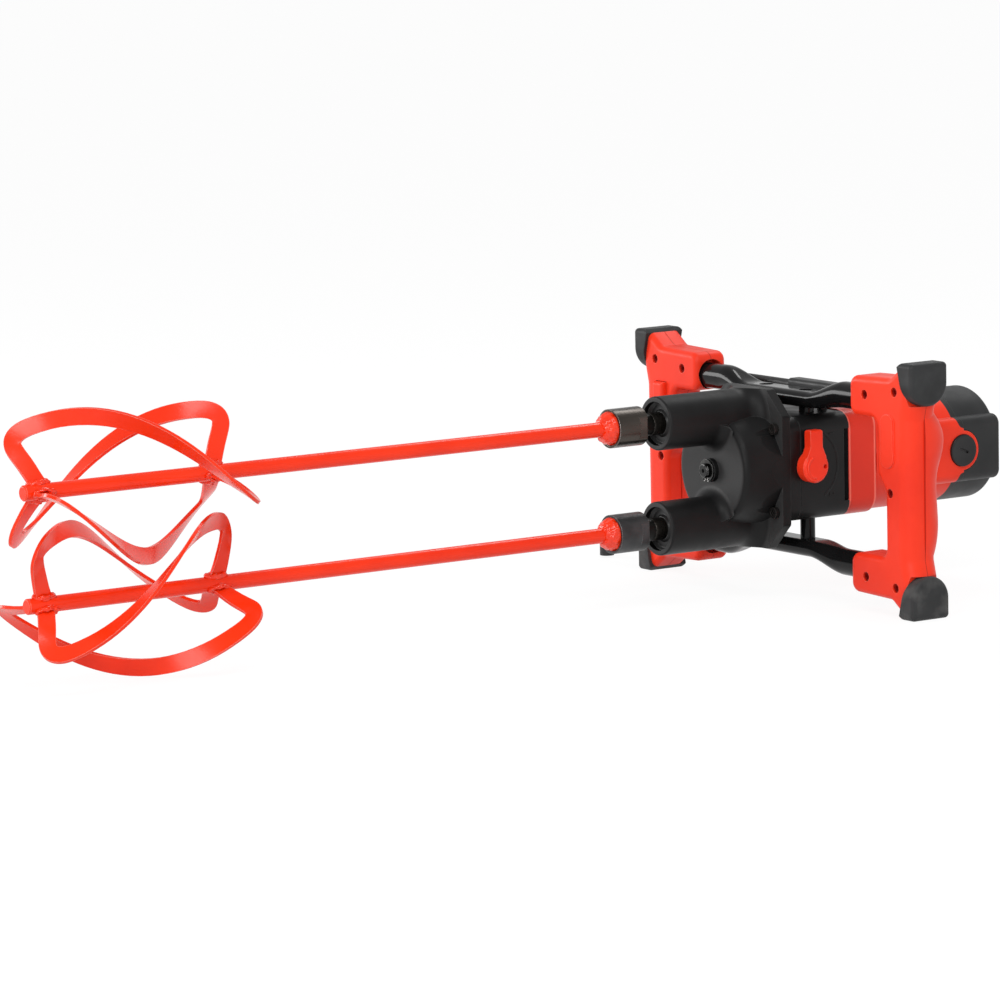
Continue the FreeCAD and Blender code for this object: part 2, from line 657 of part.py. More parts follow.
def meshed_phase(teeth, direction, partner_teeth, partner_phase):
    """The phase that puts a gap of this gear opposite a tooth of its partner.

    direction is the angle, from Z towards Y, in which the partner's centre sees this gear's centre.
    """
    partner_step = 360 / partner_teeth
    step = 360 / teeth
    ahead = (direction / partner_step - partner_phase) % 1
    back = direction + 180
    return (back / step + ahead + 0.5) % 1


idler_to_axle = module_value * (LOWER_AXLE_TEETH + IDLER_TEETH) / 2
idler_to_spindle = module_value * (LOWER_SPINDLE_TEETH + IDLER_TEETH) / 2
between = float(half_spacing)
idler_drop = (idler_to_axle ** 2 - idler_to_spindle ** 2 + between ** 2) / (2 * between)
idler_side = math.sqrt(idler_to_axle ** 2 - idler_drop ** 2)
to_idler = math.degrees(math.atan2(idler_side, -idler_drop))
from_idler = math.degrees(math.atan2(-idler_side, idler_drop - between))

upper_phase = meshed_phase(UPPER_SPINDLE_TEETH, 0, UPPER_AXLE_TEETH, 0)
idler_phase = meshed_phase(IDLER_TEETH, to_idler, LOWER_AXLE_TEETH, 0)
lower_phase = meshed_phase(LOWER_SPINDLE_TEETH, from_idler, IDLER_TEETH, idler_phase)
gear_width = s.gear_width
upper_rim = gear_shape(UPPER_AXLE_TEETH, module_value, upper_plane, gear_width, bore_diameter=axle_bore)
lower_rim = gear_shape(LOWER_AXLE_TEETH, module_value, lower_plane, gear_width, bore_diameter=axle_bore)
cluster_hub = ring("cluster_hub", upper_plane, s.gear_step, axle_bore, s.cluster_hub_diameter)
piece("axle_cluster_gear", fuse("axle_cluster_gear", built("cluster_upper", upper_rim), cluster_hub,
                                built("cluster_lower", lower_rim)))
piece("spindle_gear_upper", built("spindle_gear_upper", gear_shape(
    UPPER_SPINDLE_TEETH, module_value, upper_plane, gear_width, ZERO, half_spacing, upper_phase, seat_bore)))
piece("spindle_gear_lower", built("spindle_gear_lower", gear_shape(
    LOWER_SPINDLE_TEETH, module_value, lower_plane, gear_width, ZERO, -half_spacing, lower_phase, seat_bore)))
piece("idler_gear", built("idler_gear", gear_shape(
    IDLER_TEETH, module_value, lower_plane, gear_width, idler_side, -idler_drop, idler_phase,
    s.idler_pin_diameter + s.running_gap * 2)))
idler_pin = Part.makeCylinder(float(s.idler_pin_diameter) / 2, float(s.plate_thickness - lower_plane),
                              Vector(float(lower_plane), idler_side, -idler_drop), Vector(1, 0, 0))
piece("idler_pin", built("idler_pin", idler_pin))

# Central axle: its nose shows in the hub, held by a circlip, and its rear end carries the speed gears
nose_front = disc_face - s.hub_height - s.nose_length
axle_shoulder = snout_bore_end + s.free_gap
piece("central_axle", turned("central_axle", [
    (nose_front, ZERO), (nose_front, s.nose_diameter / 2 - s.rod_chamfer),
    (nose_front + s.rod_chamfer, s.nose_diameter / 2), (axle_shoulder, s.nose_diameter / 2),
    (axle_shoulder, s.axle_diameter / 2), (axle_tail, s.axle_diameter / 2), (axle_tail, ZERO)]))
circlip_start = disc_face - s.hub_height - s.free_gap - s.circlip_width
clip = ring("circlip_ring", circlip_start, s.circlip_width, s.nose_diameter + s.running_gap * 2,
            s.circlip_diameter)
clip_gap = block("circlip_gap", (circlip_start - s.overrun, -s.circlip_gap / 2, -s.circlip_diameter),
                 (circlip_start + s.circlip_width + s.overrun, s.circlip_gap / 2, ZERO))
piece("axle_circlip", cut("axle_circlip", clip, clip_gap))

# Bearing plate inside the rear case: it carries the axle, the idler pin, the layshaft and the fork rod
# The layshaft is set so that its wheel just clears the case, and its bearings just clear the axle's
MOTOR_TEETH, WHEEL_TEETH = 8, 24
LOW_PINION_TEETH, LOW_GEAR_TEETH = 8, 24
HIGH_PINION_TEETH, HIGH_GEAR_TEETH = 12, 20
AXLE_BEARING_SHARE = 1.15
LAYSHAFT_BEARING_SHARE = 0.65
inner_width = s.case_width - s.case_wall * 2
inner_height = s.case_height - s.case_wall * 2
inner_corner = s.case_corner - s.case_wall
wheel_tip_share = (WHEEL_TEETH + TIP_SHARE * 2) / (MOTOR_TEETH + WHEEL_TEETH)
lay_y = (inner_width / 2 - s.wheel_clearance) / (1 + wheel_tip_share)
layshaft_diameter = lay_y * (1 - wheel_tip_share) * 2 - s.layshaft_clearance * 2
axle_bearing_diameter = lay_y * AXLE_BEARING_SHARE
lay_bearing_diameter = lay_y * LAYSHAFT_BEARING_SHARE
fork_rod_y = -(inner_width / 2 - s.fork_rod_inset)
plate = centred_block("plate_blank", ZERO, s.plate_thickness, inner_width - s.running_gap * 2,
                      inner_height - s.running_gap * 2)
plate = rounded("plate_rounded", plate, inner_corner, along_x)
plate_reach = s.plate_thickness + s.overrun * 2
plate_bores = [
    bar("plate_axle_bore", axle_bearing_diameter, plate_reach, -s.overrun),
    bar("plate_lay_bore", lay_bearing_diameter, plate_reach, -s.overrun, lay_y),
    bar("plate_pin_bore", s.idler_pin_diameter + s.running_gap * 2, plate_reach, -s.overrun,
        as_formula(idler_side), as_formula(-idler_drop)),
    bar("plate_fork_bore", s.fork_rod_diameter + s.running_gap * 2, plate_reach, -s.overrun, fork_rod_y)]
for number, (y, z) in enumerate(screw_spots):
    plate_bores.append(bar("plate_relief_%d" % number, s.screw_diameter + s.case_wall * 2 + s.free_gap,
                           plate_reach,
                           -s.overrun, y, z))
piece("bearing_plate", cut("bearing_plate", plate, *plate_bores))
piece("axle_bearing", ring("axle_bearing", ZERO, s.plate_thickness, axle_bore,
                           axle_bearing_diameter - s.running_gap * 2))

# Layshaft: it takes the motor's pinion on a large wheel and drives the two speed gears of the axle
reduction = float(lay_y) * 2 / (MOTOR_TEETH + WHEEL_TEETH)
lay_bore = layshaft_diameter + s.running_gap * 2
TOWARDS_LAYSHAFT = 90
wheel_phase = meshed_phase(WHEEL_TEETH, TOWARDS_LAYSHAFT, MOTOR_TEETH, 0)
low_pinion_phase = meshed_phase(LOW_PINION_TEETH, TOWARDS_LAYSHAFT, LOW_GEAR_TEETH, 0)
high_pinion_phase = meshed_phase(HIGH_PINION_TEETH, TOWARDS_LAYSHAFT, HIGH_GEAR_TEETH, 0)
lay_rear = case_rear - s.case_wall
wall_front = case_rear - s.case_wall * 2
lay_shaft = turned("lay_shaft", [
    (ZERO, ZERO), (ZERO, layshaft_diameter / 2), (lay_rear, layshaft_diameter / 2), (lay_rear, ZERO)], lay_y)
low_pinion = gear_shape(LOW_PINION_TEETH, reduction, s.low_gear_start, gear_width, lay_y, ZERO,
                        low_pinion_phase)
piece("layshaft", fuse("layshaft", lay_shaft, built("low_pinion", low_pinion)))
piece("layshaft_wheel", built("layshaft_wheel", gear_shape(
    WHEEL_TEETH, reduction, s.wheel_start, gear_width, lay_y, ZERO, wheel_phase, lay_bore)))
piece("layshaft_pinion", built("layshaft_pinion", gear_shape(
    HIGH_PINION_TEETH, reduction, high_gear_start, gear_width, lay_y, ZERO, high_pinion_phase, lay_bore)))
piece("low_speed_gear", built("low_speed_gear", gear_shape(
    LOW_GEAR_TEETH, reduction, s.low_gear_start, gear_width, bore_diameter=axle_bore)))
piece("high_speed_gear", built("high_speed_gear", gear_shape(
    HIGH_GEAR_TEETH, reduction, high_gear_start, gear_width, bore_diameter=axle_bore)))
lay_races = [ring("lay_race_front", ZERO, s.plate_thickness, lay_bore,
                  lay_bearing_diameter - s.running_gap * 2, lay_y),
             ring("lay_race_rear", lay_rear - s.plate_thickness, s.plate_thickness, lay_bore,
                  lay_bearing_diameter - s.running_gap * 2, lay_y)]
piece("layshaft_bearings", fuse("layshaft_bearings", *lay_races))

# Shift sleeve on the axle, and the fork that moves it along its guide rod
sleeve_inner = axle_bore / 2
sleeve_outer = s.sleeve_diameter / 2
groove_start = sleeve_start + (s.sleeve_width - s.sleeve_groove_width) / 2
groove_end = groove_start + s.sleeve_groove_width
groove_floor = sleeve_outer - s.sleeve_groove_depth
piece("shift_sleeve", turned("shift_sleeve", [
    (sleeve_start, sleeve_inner), (sleeve_end, sleeve_inner), (sleeve_end, sleeve_outer),
    (groove_end, sleeve_outer),
    (groove_end, groove_floor), (groove_start, groove_floor), (groove_start, sleeve_outer),
    (sleeve_start, sleeve_outer)]))
fork_middle = (groove_start + groove_end) / 2
fork_start = fork_middle - s.fork_thickness / 2
fork_hub_diameter = s.fork_rod_diameter * 2
fork_boss = bar("fork_boss", fork_hub_diameter, s.fork_thickness, fork_start, fork_rod_y)
fork_yoke = bar("fork_yoke", s.sleeve_diameter + s.case_wall * 2, s.fork_thickness, fork_start)
fork_half = block("fork_half", (fork_start - s.overrun, -s.case_width / 2, -s.sleeve_diameter),
                  (fork_start + s.fork_thickness + s.overrun, ZERO, s.sleeve_diameter))
fork_web = centred_block("fork_web", fork_start, s.fork_thickness, -fork_rod_y - groove_floor,
                         s.fork_rod_diameter,
                         (fork_rod_y - groove_floor) / 2)
fork_reach = s.fork_thickness + s.overrun * 2
fork_blank = fuse("fork_blank", fork_boss, common("fork_jaws", fork_yoke, fork_half), fork_web)
piece("shift_fork", cut("shift_fork", fork_blank,
                        bar("fork_throat", groove_floor * 2 + s.free_gap * 2, fork_reach,
                            fork_start - s.overrun),
                        bar("fork_rod_bore", s.fork_rod_diameter + s.running_gap * 2, fork_reach,
                            fork_start - s.overrun, fork_rod_y)))
piece("fork_rod", turned("fork_rod", [
    (ZERO, ZERO), (ZERO, s.fork_rod_diameter / 2), (wall_front, s.fork_rod_diameter / 2), (wall_front, ZERO)],
    fork_rod_y))

# Lead from the switch handle to the motor: out of the rear of the upper arm and down into the case
lead_x = tube_x + s.lead_setback
lead_z = frame_z + s.lead_rise


def quarter_bend(start, corner, end):
    """An arc that leaves start towards corner and arrives at end coming from corner."""
    centre = start + end - corner
    middle = centre + (corner - centre).normalize() * (start - centre).Length
    return Part.Arc(start, middle, end).toShape()


def lead_path():
    bend = float(s.lead_bend)
    exit_y = float(s.lead_exit)
    entry_y = -float(s.lead_entry)
    x = float(lead_x)
    z = float(lead_z)
    inside = Vector(float(handle_rear - s.lead_sink), exit_y, z)
    first_corner = Vector(x, exit_y, z)
    second_corner = Vector(x, entry_y, z)
    bottom = Vector(x, entry_y, float(s.case_height / 2 - s.lead_sink))
    sideways = Vector(0, -bend, 0)
    turn_in = first_corner - Vector(bend, 0, 0)
    turn_out = first_corner + sideways
    drop_in = second_corner - sideways
    drop_out = second_corner - Vector(0, 0, bend)
    return Part.Wire([Part.LineSegment(inside, turn_in).toShape(),
                      quarter_bend(turn_in, first_corner, turn_out),
                      Part.LineSegment(turn_out, drop_in).toShape(),
                      quarter_bend(drop_in, second_corner, drop_out),
                      Part.LineSegment(drop_out, bottom).toShape()])


def along_path(path, radius):
    """A round bar that follows a path."""
    start = path.Edges[0].valueAt(path.Edges[0].FirstParameter)
    heading = path.Edges[0].tangentAt(path.Edges[0].FirstParameter)
    section = Part.Wire([Part.Circle(start, heading, radius).toShape()])
    return path.makePipeShell([section], True, True)


lead_radius = float(s.lead_diameter) / 2
lead_room_radius = lead_radius + float(s.running_gap) * 2
lead_shape = along_path(lead_path(), lead_radius)
piece("motor_lead", built("motor_lead", lead_shape))


def lead_room(name):
    return built(name, along_path(lead_path(), lead_room_radius))


# Cover that holds the lead against the flat of the upper tube
cover_front = tube_x + s.flat_width / 2
lead_cover = block("lead_cover_blank",
                   (cover_front, s.lead_cover_start - s.lead_cover_length, lead_z - s.lead_cover_height / 2),
                   (cover_front + s.lead_cover_width, s.lead_cover_start, lead_z + s.lead_cover_height / 2))
lead_cover = rounded("lead_cover_rounded", lead_cover, s.lead_cover_round, lambda edge: runs_along(edge, 1))
piece("lead_cover", cut("lead_cover", lead_cover, lead_room("lead_room_cover")))

# Rear gear case: a box with rounded corners, open in front, with a rear wall, bosses and side vents
case = centred_block("case_blank", ZERO, s.case_length, s.case_width, s.case_height)
case = rounded("case_rounded", case, s.case_corner, along_x)
hollow = centred_block("case_hollow", -s.overrun, wall_front + s.overrun, inner_width, inner_height)
hollow = rounded("case_hollow_rounded", hollow, inner_corner, along_x)
bosses = [bar("case_boss_%d" % number, s.screw_diameter + s.case_wall * 2, s.case_length - s.case_wall, ZERO,
              y, z)
          for number, (y, z) in enumerate(screw_spots)]
shell = fuse("case_shell", cut("case_walls", case, hollow),
             common("case_bosses", fuse("boss_group", *bosses), rounded(
                 "boss_bounds", centred_block("boss_box", ZERO, s.case_length, s.case_width, s.case_height),
                 s.case_corner, along_x)))
case_cuts = [
    lead_room("lead_room_case"),
    bar("case_bearing_seat", s.motor_bearing_diameter, s.case_wall * 2 + s.overrun * 2,
        wall_front - s.overrun),
    bar("case_lay_seat", lay_bearing_diameter, s.plate_thickness + s.overrun,
        lay_rear - s.plate_thickness - s.overrun, lay_y),
    bar("knob_bore", s.knob_stem_diameter + s.running_gap * 2, s.case_wall + s.overrun * 2, s.knob_setback,
        -half_case - s.overrun, s.knob_rise, ALONG_Y)]
for number, (y, z) in enumerate(screw_spots):
    case_cuts.append(bar("case_thread_%d" % number, s.screw_diameter + s.running_gap * 2,
                         flange_screw_length - s.flange_thickness + s.overrun + s.free_gap, -s.overrun, y, z))
for number, side in enumerate((-1, 1)):
    middle = as_formula(side) * (s.case_width / 2)
    case_cuts.append(centred_block("vent_%d" % number, case_rear - s.vent_width, s.vent_width + s.overrun,
                                   s.vent_depth * 2, s.vent_height, middle))
groove_core = centred_block("groove_core", s.joint_setback - s.overrun, s.joint_groove + s.overrun * 2,
                            s.case_width - s.joint_groove * 2, s.case_height - s.joint_groove * 2)
groove_core = rounded("groove_core_rounded", groove_core, s.case_corner - s.joint_groove, along_x)
groove_blank = centred_block("groove_blank", s.joint_setback, s.joint_groove, s.case_width + s.overrun * 2,
                             s.case_height + s.overrun * 2)
case_cuts.append(cut("joint_groove", groove_blank, groove_core))
knob_x = s.knob_setback
knob_z = s.knob_rise
scale_face = -half_case - s.scale_height
scale_depth = s.scale_height + s.case_wall / 2
scale_disc = bar("scale_disc", s.scale_radius * 2 + s.scale_width, scale_depth, knob_x, scale_face, knob_z,
                 ALONG_Y)
scale_bore = bar("scale_bore", s.scale_radius * 2 - s.scale_width, scale_depth + s.overrun * 2, knob_x,
                 scale_face - s.overrun, knob_z, ALONG_Y)
scale_ring = cut("scale_ring", scale_disc, scale_bore)
scale_arc = common("scale_arc", scale_ring,
                   block("scale_bounds", (knob_x + s.scale_start, scale_face - s.overrun,
                                          knob_z - s.scale_radius),
                         (knob_x + s.scale_radius + s.overrun, -half_case + s.case_wall,
                          knob_z + s.scale_radius)))
piece("rear_gear_case", fuse("rear_gear_case", cut("case_machined", shell, *case_cuts), scale_arc))

# Gear selector: a round knob with a lever on the side of the case, turned half round to change speed
knob_base = -half_case - s.knob_gap
knob_face = knob_base - s.knob_height
knob_disc = bar("knob_disc", s.knob_diameter, s.knob_height, knob_x, knob_face, knob_z, ALONG_Y)
half_lever = s.lever_width / 2
lever_end = knob_z + s.lever_length
lever_outline = [(-half_lever, s.lever_length), (half_lever, s.lever_length), (half_lever, s.lever_neck),
                 (s.lever_spread, s.lever_root), (s.lever_spread, ZERO), (-s.lever_spread, ZERO),
                 (-s.lever_spread, s.lever_root), (-half_lever, s.lever_neck)]
lever = padded("lever_plate", "XZ_Plane", [(knob_x + across, knob_z + up) for across, up in lever_outline],
               -knob_face - s.lever_height, s.lever_height)


def lever_top(edge):
    return all(abs(point.z - float(lever_end)) < TOUCH for point in edge_ends(edge))


def knob_edge(edge):
    return all(abs(point.y - float(knob_face)) < TOUCH for point in edge_ends(edge))


lever = rounded("lever_rounded", lever, s.lever_round, lever_top)
knob_disc = rounded("knob_chamfered", knob_disc, s.knob_chamfer, knob_edge, "Part::Chamfer")
stem_length = s.case_wall + s.knob_gap + s.knob_height
stem = bar("knob_stem", s.knob_stem_diameter, stem_length, knob_x, knob_face, knob_z, ALONG_Y)
knob_hole = bar("knob_hole", s.knob_hole_diameter, s.knob_hole_depth + s.overrun, knob_x + s.knob_hole_reach,
                knob_face - s.overrun, knob_z, ALONG_Y)
piece("selector_knob", cut("selector_knob", fuse("knob_form", knob_disc, lever, stem), knob_hole))

# Motor housing: a moulded tube with a gloss band in front, flat side bulges and a round tongue for each brush
motor_radius = s.motor_diameter / 2
band = centred_block("band_blank", case_rear, s.band_length, s.band_width, s.band_height)
band = rounded("band_rounded", band, s.band_corner, along_x)
band = rounded("band_edge_rounded", band, s.band_round, at_x(case_rear + s.band_length))
tube = bar("motor_tube", s.motor_diameter, s.motor_length - s.band_length, case_rear + s.band_length)
bulge = centred_block("motor_bulge", case_rear + s.bulge_start, s.motor_length - s.bulge_start, bulge_width,
                      s.bulge_height)
bulge = rounded("motor_bulge_rounded", bulge, s.bulge_round, along_x)
bulge = rounded("motor_bulge_front", bulge, s.bulge_round, at_x(case_rear + s.bulge_start))
tongues = []
for number, side in enumerate((-1, 1)):
    low, high = side_span(side, motor_radius - s.motor_wall, bulge_width / 2)
    tongues.append(bar("tongue_%d" % number, s.tongue_diameter, high - low, brush_x, low, ZERO, ALONG_Y))
motor_bore = s.motor_diameter - s.motor_wall * 2
holder_side = s.brush_side + s.brush_holder_wall * 2
motor_cuts = [bar("motor_bore", motor_bore, s.motor_length + s.overrun * 2, case_rear - s.overrun),
              bar("brush_bore", s.brush_cap_thread + s.running_gap * 2, bulge_width + s.overrun * 2,
                  brush_x, -bulge_width / 2 - s.overrun, ZERO, ALONG_Y)]
cap_sink = s.brush_cap_height / 2
for number, side in enumerate((-1, 1)):
    low, high = side_span(side, bulge_width / 2 - cap_sink, bulge_width / 2 + s.overrun)
    motor_cuts.append(bar("brush_cap_seat_%d" % number, s.brush_cap_diameter + s.free_gap, high - low,
                          brush_x, low, ZERO, ALONG_Y))
piece("motor_housing", cut("motor_housing", fuse("motor_form", band, tube, bulge, *tongues), *motor_cuts))

# Field, armature, commutator and fan
stator_front = case_rear + s.stator_start
stator_rear = stator_front + s.stator_length
stator = ring("stator_ring", stator_front, s.stator_length, s.stator_bore, motor_bore - s.running_gap * 2)
coils = ring("stator_coils", stator_front - s.coil_reach, s.stator_length + s.coil_reach * 2,
             s.stator_bore + s.coil_inset * 2, motor_bore - s.coil_wall_gap * 2)
piece("motor_field", fuse("motor_field", stator, coils))
rotor = s.stator_bore / 2 - s.rotor_gap
shaft = s.shaft_diameter / 2
shaft_bore = shaft + s.running_gap
core_front = stator_front - s.fan_blade
core_rear = stator_rear + s.fan_blade
wound_core = turned("wound_core", [
    (core_front, shaft_bore), (core_rear, shaft_bore), (core_rear, rotor - s.motor_wall),
    (core_rear - s.motor_wall, rotor), (core_front + s.motor_wall, rotor),
    (core_front, rotor - s.motor_wall)])
commutator_start = brush_x - s.commutator_length / 2
commutator_end = commutator_start + s.commutator_length
commutator = turned("commutator", [
    (commutator_start, shaft_bore), (commutator_end, shaft_bore), (commutator_end, s.commutator_diameter / 2),
    (commutator_start + s.motor_wall, s.commutator_diameter / 2),
    (commutator_start + s.motor_wall, s.commutator_diameter / 2 + s.rotor_gap),
    (commutator_start, s.commutator_diameter / 2 + s.rotor_gap)])
piece("armature", fuse("armature", wound_core, commutator))
fan_start = case_rear + s.fan_start
FAN_BLADES = 9
fan_hub = ring("fan_hub", fan_start, s.fan_width, shaft_bore * 2, s.fan_hub_diameter)
fan_disc = ring("fan_disc", fan_start + s.fan_width - s.fan_blade, s.fan_blade, shaft_bore * 2,
                s.fan_diameter)
fan_blades = []
vane_root = (s.fan_hub_diameter - shaft) / 2
vane_length = (s.fan_diameter - s.fan_hub_diameter) / 2
for number in range(FAN_BLADES):
    vane = Part.makeBox(float(s.fan_width), float(s.fan_blade), float(vane_length),
                        Vector(float(fan_start), -float(s.fan_blade) / 2, float(vane_root)))
    vane.rotate(Vector(), Vector(1, 0, 0), number * 360 / FAN_BLADES)
    fan_blades.append(built("fan_vane_%d" % number, vane))
piece("motor_fan", fuse("motor_fan", fan_hub, fan_disc, *fan_blades))

# Armature shaft with the motor pinion cut on its front end, and its two bearings
bearing_bore = s.shaft_diameter + s.running_gap * 2
front_race_start = case_rear - s.motor_bearing_width
rear_race_start = drill_rear - s.cover_wall - s.motor_bearing_width
pinion_end = s.wheel_start + s.gear_width + s.free_gap * 2
shaft_end = rear_race_start + s.motor_bearing_width
pinion = gear_shape(MOTOR_TEETH, reduction, pinion_start, pinion_end - pinion_start)
shaft_body = turned("shaft_round", [(pinion_end, ZERO), (pinion_end, shaft), (shaft_end, shaft),
                                    (shaft_end, ZERO)])
piece("armature_shaft", fuse("armature_shaft", shaft_body, built("motor_pinion", pinion)))
races = [ring("motor_race_%d" % number, start, s.motor_bearing_width, bearing_bore,
              s.motor_bearing_diameter - s.running_gap * 2)
         for number, start in enumerate((front_race_start, rear_race_start))]
piece("motor_bearings", fuse("motor_bearings", *races))

# Brush gear: a square holder and a carbon on each side of the commutator, closed by a slotted cap
holders = []
carbons = []
caps = []
commutator_face = s.commutator_diameter / 2
holder_out = bulge_width / 2 - cap_sink
for number, side in enumerate((-1, 1)):
    low, high = side_span(side, commutator_face + s.holder_gap, holder_out - s.brush_cap_height)
    outer = block("holder_outer_%d" % number, (brush_x - holder_side / 2, low, -holder_side / 2),
                  (brush_x + holder_side / 2, high, holder_side / 2))
    inner = block("holder_inner_%d" % number, (brush_x - s.brush_side / 2, low - s.overrun,
                                               -s.brush_side / 2),
                  (brush_x + s.brush_side / 2, high + s.overrun, s.brush_side / 2))
    holders.append(cut("holder_%d" % number, outer, inner))
    low, high = side_span(side, commutator_face + s.running_gap, holder_out - s.brush_cap_height * 2)
    carbon_side = s.brush_side - s.brush_gap * 2
    carbons.append(block("carbon_%d" % number, (brush_x - carbon_side / 2, low, -carbon_side / 2),
                         (brush_x + carbon_side / 2, high, carbon_side / 2)))
    low, high = side_span(side, holder_out - s.brush_cap_height, holder_out)
    thread = bar("cap_thread_%d" % number, s.brush_cap_thread, s.brush_cap_height, brush_x, low, ZERO,
                 ALONG_Y)
    low, high = side_span(side, holder_out, holder_out + s.brush_cap_height)
    head = bar("cap_head_%d" % number, s.brush_cap_diameter, s.brush_cap_height, brush_x, low, ZERO, ALONG_Y)
    low, high = side_span(side, holder_out + s.brush_cap_height / 2,
                          holder_out + s.brush_cap_height + s.overrun)
    slot = block("cap_slot_%d" % number, (brush_x - s.brush_slot_length / 2, low, -s.brush_slot / 2),
                 (brush_x + s.brush_slot_length / 2, high, s.brush_slot / 2))
    caps.append(cut("brush_cap_%d" % number, fuse("cap_round_%d" % number, thread, head), slot))
piece("brush_holders", fuse("brush_holders", *holders))
piece("carbon_brushes", fuse("carbon_brushes", *carbons))
piece("brush_caps", fuse("brush_caps", *caps))

# Rear cover: a deep round cup, with the motor's side bulges carried through to its flat rear face
cup = bar("cover_cup", s.motor_diameter, s.cover_length, motor_rear)
cup = rounded("cover_cup_rounded", cup, s.cover_round, at_x(drill_rear))
belt = centred_block("cover_belt", motor_rear, s.cover_length, bulge_width, s.bulge_height)
belt = rounded("cover_belt_rounded", belt, s.bulge_round, along_x)
belt = rounded("cover_belt_edge", belt, s.cover_edge, at_x(drill_rear))
cover_bore = bar("cover_bore", motor_bore, s.cover_length - s.cover_floor, motor_rear)
race_seat = bar("cover_race_seat", s.motor_bearing_diameter, s.cover_length - s.cover_wall, motor_rear)
tongue_room = bar("tongue_room", s.tongue_diameter + s.free_gap * 2, bulge_width + s.overrun * 2, brush_x,
                  -bulge_width / 2 - s.overrun, ZERO, ALONG_Y)
cover_cuts = [cover_bore, race_seat, tongue_room]
cover_screws = []
for number, (side, up) in enumerate(CORNERS):
    y = as_formula(side) * s.cover_screw_spread
    z = as_formula(up) * s.cover_screw_rise
    screw_end = drill_rear - s.cover_screw_length - s.handle_screw_recess
    cover_cuts.append(bar("cover_hole_%d" % number, s.handle_screw_diameter + s.running_gap * 2,
                          s.cover_screw_length + s.overrun, screw_end, y, z))
    cover_cuts.append(bar("cover_head_room_%d" % number, s.handle_screw_head + s.free_gap,
                          s.handle_screw_recess + s.overrun, drill_rear - s.handle_screw_recess, y, z))
    cover_screws.append(screw("cover_screw_%d" % number, drill_rear, y, z,
                              s.handle_screw_diameter, s.handle_screw_head, s.handle_screw_recess,
                              s.cover_screw_length, -1))
piece("rear_cover", cut("rear_cover", fuse("cover_form", cup, belt), *cover_cuts))
piece("cover_screws", fuse("cover_screws", *cover_screws))

# Frame tubes: round in the handles, bent inwards and pressed flat over the gear case
def tube_section(y, rise, width, height, sign):
    """An oval across the tube at one place along it, two half rounds and two flats."""
    centre = Vector(float(tube_x), y, float(frame_z) + sign * rise)
    half = height / 2
    reach = (width - height) / 2
    front_low = centre + Vector(-reach, 0, -half)
    front_high = centre + Vector(-reach, 0, half)
    rear_high = centre + Vector(reach, 0, half)
    rear_low = centre + Vector(reach, 0, -half)
    edges = [Part.Arc(front_low, centre + Vector(-reach - half, 0, 0), front_high).toShape(),
             Part.LineSegment(front_high, rear_high).toShape(),
             Part.Arc(rear_high, centre + Vector(reach + half, 0, 0), rear_low).toShape(),
             Part.LineSegment(rear_low, front_low).toShape()]
    return Part.Wire(edges)


def eased(share):
    """A share of a move that starts and ends gently."""
    return share * share * (3 - 2 * share)


def tube_form(sign):
    """The whole tube from handle to handle."""
    arm = (float(s.tube_arm_rise), float(s.tube_width), float(s.tube_height))
    flat = (float(s.tube_mid_rise), float(s.flat_width), float(s.flat_height))
    flat_end = float(s.flat_half_length)
    bend_end = flat_end + float(s.bend_length)
    tube_end = float(s.arm_inner + s.socket_depth)
    solids = [Part.makeLoft([tube_section(-flat_end, *flat, sign), tube_section(flat_end, *flat, sign)],
                            True, True)]
    bend_shares = (0, 0.25, 0.5, 0.75, 1)
    for side in (-1, 1):
        sections = []
        for share in bend_shares:
            form = [near + (far - near) * eased(share) for near, far in zip(flat, arm)]
            sections.append(tube_section(side * (flat_end + (bend_end - flat_end) * share), *form, sign))
        solids.append(Part.makeLoft(sections, True, False))
        solids.append(Part.makeLoft([tube_section(side * bend_end, *arm, sign),
                                     tube_section(side * tube_end, *arm, sign)], True, True))
    whole = solids[0]
    for solid in solids[1:]:
        whole = whole.fuse(solid)
    return whole.removeSplitter()


head_room = s.bolt_head_height + s.bolt_sink
arm_screw_hole = s.handle_screw_diameter + s.free_gap
for label, sign in (("frame_tube_upper", 1), ("frame_tube_lower", -1)):
    drills = []
    up = as_formula(sign)
    tube_back = frame_z + up * (s.tube_mid_rise + s.flat_height / 2)
    for number, side in enumerate((-1, 1)):
        y = as_formula(side) * s.post_spread
        drills.append(bar("%s_bolt_hole_%d" % (label, number), s.bolt_diameter + s.running_gap * 2,
                          s.flat_height * 2,
                          tube_x, y, frame_z + up * s.tube_mid_rise - s.flat_height, ALONG_Z))
        head_low = tube_back - head_room if sign > 0 else tube_back - s.overrun
        drills.append(bar("%s_head_hole_%d" % (label, number), s.bolt_head_diameter + s.free_gap,
                          head_room + s.overrun, tube_x, y, head_low, ALONG_Z))
        drills.append(bar("%s_screw_hole_%d" % (label, number), arm_screw_hole, s.handle_depth, handle_front,
                          as_formula(side) * s.arm_screw_inner, frame_z + up * s.arm_screw_rise))
    piece(label, cut(label, built(label + "_form", tube_form(sign)), *drills))

